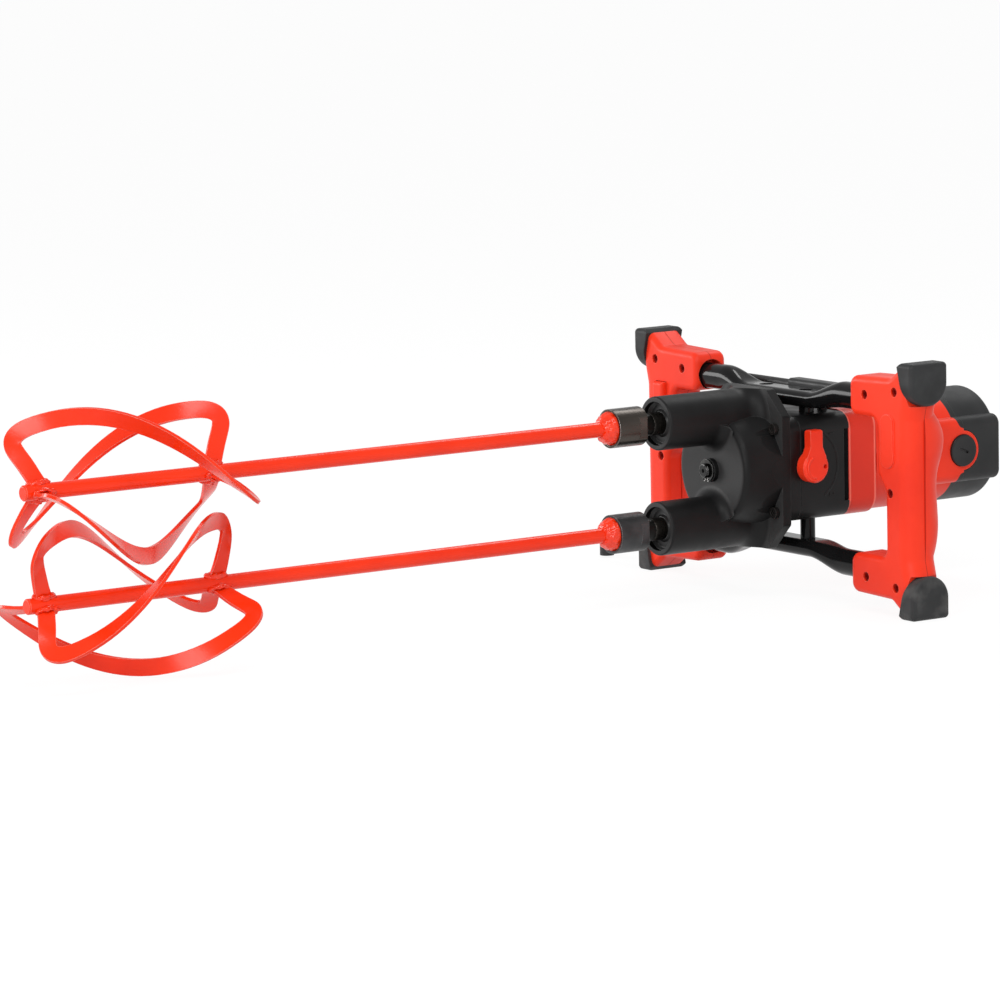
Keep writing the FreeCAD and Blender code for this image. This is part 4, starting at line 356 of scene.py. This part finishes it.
NECK_START = 0.1140539
NECK_BLEND = 0.0004
NECK_COLOUR = (0.012, 0.011, 0.010)
turned = finish("turned_coupling_steel", low=(0.035, 0.029, 0.024), high=(0.095, 0.082, 0.073),
                edge_wear_and_highlight=(0.75, 0.73, 0.7), rough=(0.2, 0.36), grain=2200.0, relief=0.000008, patch=30.0,
                metal=1.0, edge=0.0008, stretch=(0.25, 1.0, 1.0))
dull_steel = finish("dull_coupling_steel", low=(0.035, 0.035, 0.036), high=(0.07, 0.07, 0.072),
                    edge_wear_and_highlight=(0.45, 0.45, 0.45), rough=(0.38, 0.5), grain=2200.0, relief=0.00001, patch=60.0,
                    metal=0.8, edge=0.0008)
for side, steel in (("upper", turned), ("lower", dull_steel)):
    tint(steel, along(steel, "X", NECK_START, NECK_START + NECK_BLEND), NECK_COLOUR, rough=0.35)
    place = (COUPLING_FACE, DRIVE_Y, SPINDLE_HEIGHTS[side])
    sleeve = placed_copy(barrel, f"coupling_sleeve_{side}", place, (0.0, 0.0, 0.0))
    sleeve.data.materials.append(steel)
    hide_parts(f"coupling_{side}")
    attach(sleeve, f"{side}_spindle")
bpy.data.objects.remove(barrel)

shaft = finish("oiled_shaft_steel", low=(0.03, 0.027, 0.024), high=(0.06, 0.052, 0.045),
               edge_wear_and_highlight=(0.3, 0.28, 0.26), rough=(0.25, 0.4), grain=1800.0, relief=0.000008, patch=80.0,
               metal=0.9, stretch=(4.0, 1.0, 1.0))
dress(shaft, "spindle_upper", "spindle_lower")
seal = finish("seal_rubber", low=(0.006, 0.006, 0.0062), high=(0.011, 0.011, 0.0112),
              edge_wear_and_highlight=(0.16, 0.16, 0.16), rough=(0.3, 0.42), grain=1500.0, relief=0.00002, shine=0.3)
dress(seal, "spindle_seals")
race = finish("ground_race_steel", low=(0.5, 0.5, 0.5), high=(0.62, 0.62, 0.61), edge_wear_and_highlight=(0.8, 0.8, 0.8),
              rough=(0.12, 0.22), grain=2500.0, relief=0.000004, metal=1.0, stretch=(6.0, 1.0, 1.0))
dress(race, "spindle_bearings", "axle_bearing", "layshaft_bearings", "motor_bearings")

# Paddles.
# Each is a round bar with three flat strips, twisted and welded on at both ends, then coated in bright
# red gloss. The weld beads are lumpy under the coat, and the bar is welded into its coupling's mouth.
PADDLE_LOW = (0.82, 0.027, 0.003)
PADDLE_HIGH = (0.92, 0.036, 0.004)
# The pale pink edge tone is a painted highlight along the edges of the strips, bars and welds.
PADDLE_EDGE_HIGHLIGHT = (1.0, 0.5, 0.42)
gloss_red = finish("red_gloss_paint", PADDLE_LOW, PADDLE_HIGH, PADDLE_EDGE_HIGHLIGHT, rough=(0.16, 0.26), grain=500.0,
                   relief=0.00003, patch=14.0, edge=0.0009, shine=0.28)
dress(gloss_red, "paddle_upper", "paddle_lower")
weld_red = finish("red_paint_on_weld", PADDLE_LOW, PADDLE_HIGH, PADDLE_EDGE_HIGHLIGHT, rough=(0.06, 0.13), grain=420.0,
                  relief=0.0009, patch=90.0, edge=0.0004)


def make_lumpy(bead, coarse, lean, coarse_seed, fine, fine_seed):
    bpy.ops.transform.vertex_random(offset=coarse, normal=lean, seed=coarse_seed)
    bpy.ops.mesh.subdivide(number_cuts=1, smoothness=1.0)
    bpy.ops.transform.vertex_random(offset=fine, normal=1.0, seed=fine_seed)
    face_outwards()
    smooth(bead, angle=75.0)
    bead.data.materials.append(weld_red)


ROOT_BEAD_RING = 0.0050
ROOT_BEAD_THICK = 0.0019
ROOT_BEAD_SHAPE = (1.45, 0.62, 1.1)
bpy.ops.mesh.primitive_torus_add(major_segments=22, minor_segments=8, major_radius=ROOT_BEAD_RING,
                                 minor_radius=ROOT_BEAD_THICK)
root_bead = bpy.context.object
root_bead.name = "root_bead"
bpy.ops.object.mode_set(mode="EDIT")
bpy.ops.mesh.select_all(action="SELECT")
bpy.ops.transform.resize(value=ROOT_BEAD_SHAPE)
make_lumpy(root_bead, coarse=0.0011, lean=0.7, coarse_seed=3, fine=0.0002, fine_seed=8)

MOUTH_BEAD_RADIUS = 0.0130
MOUTH_BEAD_FOOT = 0.004
MOUTH_BEAD_STEPS = ((0.0022, 0.95), (0.0024, 0.88), (0.0022, 0.80), (0.0018, 0.68))
bpy.ops.mesh.primitive_cylinder_add(vertices=30, radius=MOUTH_BEAD_RADIUS, depth=MOUTH_BEAD_FOOT)
mouth_bead = bpy.context.object
mouth_bead.name = "mouth_bead"
pick_faces(mouth_bead, lambda face: face.normal.z > FACING)
for rise, draw in MOUTH_BEAD_STEPS:
    extrude(0.0, 0.0, rise)
    bpy.ops.transform.resize(value=(draw, draw, 1.0))
bpy.ops.mesh.select_all(action="SELECT")
make_lumpy(mouth_bead, coarse=0.0007, lean=0.8, coarse_seed=5, fine=0.00025, fine_seed=11)

BLADES = 3
BLADES_MIDDLE = -0.3529461
BLADE_SPAN = 0.148
BLADE_TURN = math.radians(123.5)
BEAD_SEAT = 0.0064
MOUTH_SEAT = 0.001
FIRST_BLADE = {"upper": math.radians(41.4), "lower": math.radians(-52.1)}
HAND = {"upper": 1.0, "lower": -1.0}
for side, axis_height in SPINDLE_HEIGHTS.items():
    for blade in range(BLADES):
        for end, share in (("front", -0.5), ("back", 0.5)):
            turn = FIRST_BLADE[side] + 2.0 * math.pi * blade / BLADES + HAND[side] * BLADE_TURN * share
            outward = Vector((0.0, -math.sin(turn), math.cos(turn)))
            middle = Vector((BLADES_MIDDLE + BLADE_SPAN * share, DRIVE_Y, axis_height))
            root = middle + outward * BEAD_SEAT
            weld = placed_copy(root_bead, f"weld_{side}_{blade}_{end}", root, (turn, 0.0, 0.0))
            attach(weld, f"{side}_spindle")
    mouth = (COUPLING_FACE + MOUTH_SEAT, DRIVE_Y, axis_height)
    ring = placed_copy(mouth_bead, f"coupling_weld_{side}", mouth, (0.0, -math.pi / 2.0, 0.0))
    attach(ring, f"{side}_spindle")
for pattern in (root_bead, mouth_bead):
    bpy.data.objects.remove(pattern)

# Gear train.
# Hobbed and ground steel gears on turned shafts, oiled, with a bronze shift fork. The axle comes out
# through the front cover, where a spring steel circlip with two eyes holds it.
cut_steel = finish("hobbed_gear_steel", low=(0.34, 0.33, 0.32), high=(0.46, 0.45, 0.43),
                   edge_wear_and_highlight=(0.7, 0.7, 0.68), rough=(0.22, 0.34), grain=1600.0, relief=0.00001, patch=60.0,
                   metal=1.0)
dress(cut_steel, "axle_cluster_gear", "spindle_gear_upper", "spindle_gear_lower", "idler_gear",
      "layshaft_wheel", "layshaft_pinion", "low_speed_gear", "high_speed_gear", "shift_sleeve")
ground = finish("ground_shaft_steel", low=(0.28, 0.27, 0.26), high=(0.42, 0.41, 0.4), edge_wear_and_highlight=(0.7, 0.7, 0.7),
                rough=(0.15, 0.28), grain=2400.0, relief=0.000006, patch=70.0, metal=1.0,
                stretch=(5.0, 1.0, 1.0))
dress(ground, "idler_pin", "layshaft", "fork_rod", "armature_shaft")
bronze = finish("shift_fork_bronze", low=(0.42, 0.24, 0.09), high=(0.55, 0.33, 0.13),
                edge_wear_and_highlight=(0.8, 0.55, 0.28), rough=(0.25, 0.4), grain=700.0, relief=0.00003, patch=50.0, metal=1.0)
dress(bronze, "shift_fork")


def from_axis(skin, point, square_to):
    """The distance from an axis through a point; square_to is 0 along the axis and 1 across it."""
    tree = skin.node_tree
    place = add_node(tree, "TexCoord", {}).outputs["Object"]
    offset = add_node(tree, "VectorMath", {0: place, 1: point}, operation="SUBTRACT").outputs["Vector"]
    flat = add_node(tree, "VectorMath", {0: offset, 1: square_to}, operation="MULTIPLY").outputs["Vector"]
    return add_node(tree, "VectorMath", {0: flat}, operation="LENGTH").outputs["Value"]


AXLE_HEIGHT = 0.107
CENTRE_HOLE = (0.0019, 0.0015)
HOLE_PAINTED_SHADE = (0.001, 0.001, 0.001)
axle_steel = finish("blackened_axle_steel", low=(0.025, 0.025, 0.025), high=(0.05, 0.05, 0.05),
                    edge_wear_and_highlight=(0.55, 0.55, 0.54), rough=(0.2, 0.34), grain=2200.0, relief=0.000008, patch=120.0,
                    metal=1.0, edge=0.0009)
# A black spot in the middle of the axle's end is painted shade for its centre hole.
off_centre = from_axis(axle_steel, (0.0, DRIVE_Y, AXLE_HEIGHT), (0.0, 1.0, 1.0))
tint(axle_steel, ramp(axle_steel.node_tree, off_centre, *CENTRE_HOLE), HOLE_PAINTED_SHADE, rough=0.8)
dress(axle_steel, "central_axle")
spring = finish("spring_steel", low=(0.04, 0.04, 0.04), high=(0.09, 0.09, 0.087), edge_wear_and_highlight=(0.4, 0.4, 0.39),
                rough=(0.15, 0.28), grain=1800.0, relief=0.000006, patch=90.0, metal=1.0, edge=0.0005)
dress(spring, "axle_circlip")

CLIP_FRONT = 0.1808539
EYE_RADIUS = 0.0016
EYE_WALL = 0.0009
EYE_THICK = 0.0014
EYE_DROP = 0.0072
EYE_APART = 0.0024
bpy.ops.mesh.primitive_cylinder_add(vertices=24, radius=EYE_RADIUS, depth=EYE_THICK)
eye = bpy.context.object
eye.name = "circlip_eye"
pick_faces(eye, lambda face: abs(face.normal.z) > FACING)
bpy.ops.mesh.inset(thickness=EYE_WALL, depth=0.0)
bpy.ops.mesh.bridge_edge_loops()
face_outwards()
smooth(eye)
eye.data.materials.append(ground)
for label, sideways in (("near", -EYE_APART), ("far", EYE_APART)):
    place = (CLIP_FRONT, DRIVE_Y + sideways, AXLE_HEIGHT - EYE_DROP)
    loop = placed_copy(eye, f"circlip_eye_{label}", place, ALONG_X)
    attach(loop, "axle")
bpy.data.objects.remove(eye)

# Rear gear case.
# A black moulded box between the gear housing and the motor, with a vent slot at its back edge, where an
# inner lip shows, and a raised arc with a plain number at each end for the selector's two speeds.
case_black = finish("black_case_plastic", low=(0.005, 0.005, 0.0052), high=(0.009, 0.009, 0.0092),
                    edge_wear_and_highlight=(0.05, 0.05, 0.052), rough=(0.34, 0.46), grain=1300.0, relief=0.000015, shine=0.2)
dress(case_black, "rear_gear_case")

CASE_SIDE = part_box("rear_gear_case")[0][1]
MARK_SIZE = 0.0075
MARK_RAISE = 0.0005
MARK_SINK = 0.0004
MARK_X = 0.2690
MARK_HEIGHTS = {"1": 0.1335, "2": 0.0845}
MARK_MERGE = 0.00002
for digit, mark_height in MARK_HEIGHTS.items():
    bpy.ops.object.text_add()
    mark = bpy.context.object
    mark.name = f"speed_mark_{digit}"
    mark.data.body = digit
    mark.data.size = MARK_SIZE
    mark.data.extrude = MARK_RAISE
    mark.data.align_x = "CENTER"
    mark.data.align_y = "CENTER"
    bpy.ops.object.convert(target="MESH")
    mark = bpy.context.object
    mark.location = (MARK_X, CASE_SIDE + MARK_SINK, mark_height)
    mark.rotation_euler = (math.pi / 2.0, math.pi / 2.0, 0.0)
    apply_place()
    bpy.ops.object.mode_set(mode="EDIT")
    face_outwards(MARK_MERGE)
    mark.data.materials.append(case_black)
    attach(mark, "frame")

LIP_FRONT = 0.2821539
LIP_BACK = 0.2869539
LIP_RISE = 0.0288
LIP_SIDES = (("near", -0.0852, -0.0815), ("far", 0.0102, 0.0065))
LIP_ROUND = 0.0005
# The lips are coloured blacker and duller than the case: painted shade in the depth of the slot.
lip_painted_shade = finish("slot_lip_painted_shade", low=(0.001, 0.001, 0.001), high=(0.004, 0.004, 0.004),
                   edge_wear_and_highlight=(0.006, 0.006, 0.006), rough=(0.8, 0.9), grain=1500.0, relief=0.0004, patch=300.0,
                   shine=0.1)
for label, outer, inner in LIP_SIDES:
    middle = ((LIP_FRONT + LIP_BACK) / 2.0, (outer + inner) / 2.0, AXLE_HEIGHT)
    bpy.ops.mesh.primitive_cube_add(size=1.0, location=middle)
    strip = bpy.context.object
    strip.name = f"slot_lip_{label}"
    strip.scale = (LIP_BACK - LIP_FRONT, abs(outer - inner), 2.0 * LIP_RISE)
    apply_place()
    bpy.ops.object.mode_set(mode="EDIT")
    bpy.ops.mesh.select_all(action="SELECT")
    bpy.ops.mesh.bevel(offset=LIP_ROUND, segments=2)
    bpy.ops.object.mode_set(mode="OBJECT")
    smooth(strip)
    strip.data.materials.append(lip_painted_shade)
    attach(strip, "frame")

# Selector knob.
# Moulded in red plastic with a lever, pressed on the selector's spindle. A raised rib runs half round
# the face of its hub.
RED_LOW = (0.84, 0.030, 0.008)
RED_HIGH = (0.94, 0.041, 0.011)
# The pale red edge tone is a painted highlight on the rounded edges of the red mouldings.
RED_EDGE_HIGHLIGHT = (1.0, 0.30, 0.22)
moulded = finish("red_moulded_plastic", RED_LOW, RED_HIGH, RED_EDGE_HIGHLIGHT, rough=(0.32, 0.44), grain=1400.0,
                 relief=0.000015, patch=20.0, edge=0.0009, shine=0.25)
dress(moulded, "selector_knob", "trigger")

KNOB_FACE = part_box("selector_knob")[0][1]
KNOB_AXIS = Vector((0.2465539, KNOB_FACE, 0.109))
RIB_RADIUS = 0.0086
RIB_WIDTH = 0.0016
RIB_DEPTH = 0.0018
RIB_PROUD = 0.0007
RIB_ROUND = 0.0003
RIB_START = math.radians(25.0)
RIB_SWEEP = math.radians(150.0)
section = KNOB_AXIS + Vector((0.0, RIB_DEPTH / 2.0 - RIB_PROUD, RIB_RADIUS))
bpy.ops.mesh.primitive_plane_add(size=1.0, location=section, rotation=ALONG_X)
rib = bpy.context.object
rib.name = "knob_rib"
rib.scale = (RIB_WIDTH, RIB_DEPTH, 1.0)
apply_place()
bpy.ops.object.mode_set(mode="EDIT")
bpy.ops.mesh.select_all(action="SELECT")
bpy.ops.transform.rotate(value=RIB_START, orient_axis="Y", center_override=KNOB_AXIS)
bpy.ops.mesh.spin(steps=24, angle=RIB_SWEEP, center=KNOB_AXIS, axis=(0.0, 1.0, 0.0))
bpy.ops.mesh.select_all(action="SELECT")
bpy.ops.mesh.remove_doubles(threshold=MERGE)
bpy.ops.mesh.normals_make_consistent(inside=False)
bpy.ops.mesh.bevel(offset=RIB_ROUND, segments=2)
bpy.ops.object.mode_set(mode="OBJECT")
smooth(rib)
rib.data.materials.append(moulded)
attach(rib, "selector")

# Motor.
# The housing is one red moulding: a band at the front, a tube, and a tongue round each brush cap, where
# the rear cover laps over it. Inside are the laminated field, the wound armature, its fan and bearings.
motor_red = finish("red_motor_plastic", RED_LOW, RED_HIGH, RED_EDGE_HIGHLIGHT, rough=(0.32, 0.44), grain=1400.0,
                   relief=0.000015, patch=16.0, shine=0.25)


def stripe(skin, axis, middle, half, soft):
    """A mask for a line of twice half, with soft sides, square to one axis of the frame."""
    rising = along(skin, axis, middle - half - soft, middle - half)
    falling = along(skin, axis, middle + half + soft, middle + half)
    return calc(skin.node_tree, "MULTIPLY", rising, falling)


BAND_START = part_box("rear_gear_case")[1][0]
BAND_END = 0.31705
BAND_BLEND = 0.0004
BAND_RED = (0.74, 0.030, 0.011)
BAND_RIM_HIGHLIGHT = (0.98, 0.17, 0.12)
BAND_ROUGH = 0.3
RIM_HALF = 0.0004
RIM_SOFT = 0.0008
RIM_FROM_CASE = 0.0020
RIM_FROM_END = 0.0026
on_band = along(motor_red, "X", BAND_END + BAND_BLEND, BAND_END - BAND_BLEND)
tint(motor_red, on_band, BAND_RED, BAND_ROUGH)
# Two thin pale lines near the ends of the band are painted highlights for its rounded rims.
for rim in (BAND_START + RIM_FROM_CASE, BAND_END - RIM_FROM_END):
    tint(motor_red, stripe(motor_red, "X", rim, RIM_HALF, RIM_SOFT), BAND_RIM_HIGHLIGHT, BAND_ROUGH)

CAP_X = 0.4050539
COVER_GREY = (0.024, 0.025, 0.0255)
COVER_LINE = 0.4005
TONGUE_RADIUS = 0.0176
JOINT_FILLET = 0.012
JOINT_SOFT = 0.0002
tree = motor_red.node_tree
from_cap = from_axis(motor_red, (CAP_X, 0.0, AXLE_HEIGHT), (1.0, 0.0, 1.0))
past_tongue = calc(tree, "SUBTRACT", from_cap, TONGUE_RADIUS)
place = add_node(tree, "TexCoord", {}).outputs["Object"]
split = add_node(tree, "SeparateXYZ", {0: place})
past_line = calc(tree, "SUBTRACT", split.outputs["X"], COVER_LINE)
scallop = calc(tree, "SMOOTH_MIN", past_tongue, past_line, JOINT_FILLET)
tint(motor_red, ramp(tree, scallop, -JOINT_SOFT, JOINT_SOFT), COVER_GREY, rough=0.48)
dress(motor_red, "motor_housing")
sheet_stack = finish("field_laminations", low=(0.16, 0.16, 0.165), high=(0.3, 0.3, 0.3), edge_wear_and_highlight=(0.5, 0.5, 0.5),
                     rough=(0.35, 0.5), grain=60.0, relief=0.0002, patch=40.0, metal=0.9,
                     stretch=(40.0, 1.0, 1.0))
dress(sheet_stack, "motor_field")
winding = finish("armature_copper", low=(0.45, 0.16, 0.06), high=(0.62, 0.26, 0.1), edge_wear_and_highlight=(0.85, 0.5, 0.3),
                 rough=(0.25, 0.4), grain=500.0, relief=0.0001, patch=120.0, metal=1.0,
                 stretch=(0.2, 1.0, 1.0))
dress(winding, "armature")
fan_plastic = finish("fan_plastic", low=(0.02, 0.02, 0.02), high=(0.035, 0.035, 0.035), edge_wear_and_highlight=(0.1, 0.1, 0.1),
                     rough=(0.4, 0.55), grain=1200.0, relief=0.00002)
dress(fan_plastic, "motor_fan")

# Brush gear and rear cover.
# Brass holders guide the carbon brushes, which slotted black caps close from outside. The rear cover is
# a dark grey moulding with a belt round it, held by screws.
brass = finish("brush_holder_brass", low=(0.5, 0.36, 0.12), high=(0.65, 0.48, 0.18), edge_wear_and_highlight=(0.85, 0.7, 0.35),
               rough=(0.2, 0.35), grain=1500.0, relief=0.00001, patch=60.0, metal=1.0)
dress(brass, "brush_holders")
carbon = finish("pressed_carbon", low=(0.012, 0.012, 0.012), high=(0.03, 0.03, 0.03), edge_wear_and_highlight=(0.09, 0.09, 0.09),
                rough=(0.5, 0.65), grain=2500.0, relief=0.00002, patch=200.0)
dress(carbon, "carbon_brushes")

CAP_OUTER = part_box("brush_caps")[0][1]
CAP_RADIUS = 0.0130
CAP_DEPTH = 0.0050
CAP_ROUND = 0.0009
CAP_RIM = 0.0022
CAP_SINK = 0.0005
SQUARE_ON = 0.99
SLOT_LONG = 0.0100
SLOT_WIDE = 0.0022
SLOT_DEEP = 0.0014
SLOT_TILT = math.radians(23.0)
bpy.ops.mesh.primitive_cylinder_add(vertices=ROUND_SIDES, radius=CAP_RADIUS, depth=CAP_DEPTH,
                                    location=(CAP_X, CAP_OUTER + CAP_DEPTH / 2.0, AXLE_HEIGHT),
                                    rotation=(math.pi / 2.0, 0.0, 0.0))
cap = bpy.context.object
cap.name = "brush_cap_pair"
apply_place()
pick_faces(cap, lambda face: face.normal.y < -FACING)
bpy.ops.mesh.bevel(offset=CAP_ROUND, segments=3)
pick_faces(cap, lambda face: face.normal.y < -SQUARE_ON)
bpy.ops.mesh.inset(thickness=CAP_RIM, depth=-CAP_SINK)
bpy.ops.object.mode_set(mode="OBJECT")
bpy.ops.mesh.primitive_cube_add(size=1.0, location=(CAP_X, CAP_OUTER + CAP_SINK, AXLE_HEIGHT),
                                rotation=(0.0, SLOT_TILT, 0.0))
cutter = bpy.context.object
cutter.scale = (SLOT_LONG, 2.0 * SLOT_DEEP, SLOT_WIDE)
apply_place()
take(cap)
slot_cut = cap.modifiers.new("slot", "BOOLEAN")
slot_cut.object = cutter
slot_cut.operation = "DIFFERENCE"
slot_cut.solver = "EXACT"
bpy.ops.object.modifier_apply(modifier="slot")
bpy.data.objects.remove(cutter)
smooth(cap)
cap_black = finish("brush_cap_plastic", low=(0.008, 0.008, 0.0085), high=(0.014, 0.014, 0.0145),
                   edge_wear_and_highlight=(0.07, 0.07, 0.07), rough=(0.3, 0.42), grain=1500.0, relief=0.00001, shine=0.35)
cap.data.materials.append(cap_black)
far_cap = placed_copy(cap, "brush_cap_far", (2.0 * CAP_X, 2.0 * DRIVE_Y, 0.0), (0.0, 0.0, math.pi))
take(cap)
far_cap.select_set(True)
bpy.ops.object.join()
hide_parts("brush_caps")
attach(cap, "frame")
cover_plastic = finish("dark_grey_plastic", low=(0.020, 0.021, 0.0215), high=(0.029, 0.030, 0.031),
                       edge_wear_and_highlight=(0.09, 0.09, 0.092), rough=(0.42, 0.54), grain=1200.0, relief=0.00002, shine=0.25)
dress(cover_plastic, "rear_cover")

# Frame.
# Two steel tubes, bent and pressed flat where they bolt to the gear case, in black gloss paint, with
# round stand-off posts between tube and case.
tube_black = finish("black_gloss_paint", low=(0.004, 0.004, 0.0043), high=(0.008, 0.008, 0.0083),
                    edge_wear_and_highlight=(0.05, 0.05, 0.05), rough=(0.08, 0.16), grain=350.0, relief=0.00004, patch=12.0,
                    shine=0.16)
dress(tube_black, "frame_tube_upper", "frame_tube_lower", "frame_posts")

# Handles.
# Each is two red moulded halves, screwed together round the ends of the tubes. A fine open line shows
# where the halves meet. The screws lie deep in their holes; their heads are coloured dark red, painted shade
# for the red hole floors.
SEAM_X = 0.2615539
SEAM_HALF = 0.0002
SEAM_SOFT = 0.0003
SEAM_RED = (0.55, 0.02, 0.006)
handle_red = finish("red_handle_plastic", RED_LOW, RED_HIGH, RED_EDGE_HIGHLIGHT, rough=(0.36, 0.48), grain=1300.0,
                    relief=0.00002, patch=15.0, shine=0.25)
tint(handle_red, stripe(handle_red, "X", SEAM_X, SEAM_HALF, SEAM_SOFT), SEAM_RED, rough=0.6)
dress(handle_red, "near_handle_front", "near_handle_rear", "switch_handle_front", "switch_handle_rear")
# The screw heads' dark red is painted shade standing for the red hole floors in shadow.
shaded_screw_red = finish("screw_heads_painted_shade", low=(0.17, 0.003, 0.0015), high=(0.23, 0.005, 0.0025),
                  edge_wear_and_highlight=(0.26, 0.008, 0.004), rough=(0.5, 0.6), grain=1200.0, relief=0.00002, shine=0.1)
dress(shaded_screw_red, "handle_screws")

# Corner caps.
# Dark grey rubber pressed over the four corners of the handles, which the drill stands on. Painted shade
# darkens the rounded border of each face, and they are dusty near the ground.
BORDER_WIDTH = 0.004
BORDER_SAMPLES = 6
BORDER_SPAN = (0.995, 0.975)
BORDER_SHARE = 0.5
BORDER_PAINTED_SHADE = (0.012, 0.012, 0.0122)
DUST_SCALE = 55.0
DUST_DETAIL = 8.0
DUST_SPAN = (0.46, 0.95)
DUST_TOP = 0.10
DUST_GREY = (0.16, 0.155, 0.15)
rubber = finish("cap_rubber", low=(0.022, 0.0225, 0.023), high=(0.036, 0.037, 0.038),
                edge_wear_and_highlight=(0.13, 0.13, 0.132), rough=(0.46, 0.6), grain=900.0, relief=0.00003, patch=40.0,
                edge=0.0014, shine=0.25)
tree = rubber.node_tree
# The rounded borders of each face are painted darker as shade.
border = edges(tree, BORDER_WIDTH, BORDER_SAMPLES)[1]
tint(rubber, ramp(tree, border, *BORDER_SPAN, high=BORDER_SHARE), BORDER_PAINTED_SHADE, rough=0.4)
place = add_node(tree, "TexCoord", {}).outputs["Object"]
specks = add_node(tree, "TexNoise", {"Vector": place, "Scale": DUST_SCALE, "Detail": DUST_DETAIL})
dusty = ramp(tree, specks.outputs["Fac"], *DUST_SPAN)
near_ground = along(rubber, "Z", DUST_TOP, 0.0)
tint(rubber, calc(tree, "MULTIPLY", dusty, near_ground), DUST_GREY, rough=0.8)
dress(rubber, "near_handle_cap_top", "near_handle_cap_bottom", "switch_handle_cap_top",
      "switch_handle_cap_bottom")

# Switch, lead and gland.
# The switch block sits in the far handle with its trigger and lock button. A rubber covered lead runs
# along the upper tube to the motor under a clip-on cover, and a ribbed elbow is the gland at the foot.
block = finish("switch_block_plastic", low=(0.02, 0.02, 0.02), high=(0.03, 0.03, 0.03), edge_wear_and_highlight=(0.1, 0.1, 0.1),
               rough=(0.4, 0.5), grain=1200.0, relief=0.00002)
dress(block, "switch_block", "lock_button")
lead_black = finish("lead_rubber", low=(0.012, 0.012, 0.0122), high=(0.02, 0.02, 0.0203),
                    edge_wear_and_highlight=(0.06, 0.06, 0.06), rough=(0.35, 0.5), grain=800.0, relief=0.00003, shine=0.4)
dress(lead_black, "motor_lead", "cable_gland", "lead_cover")
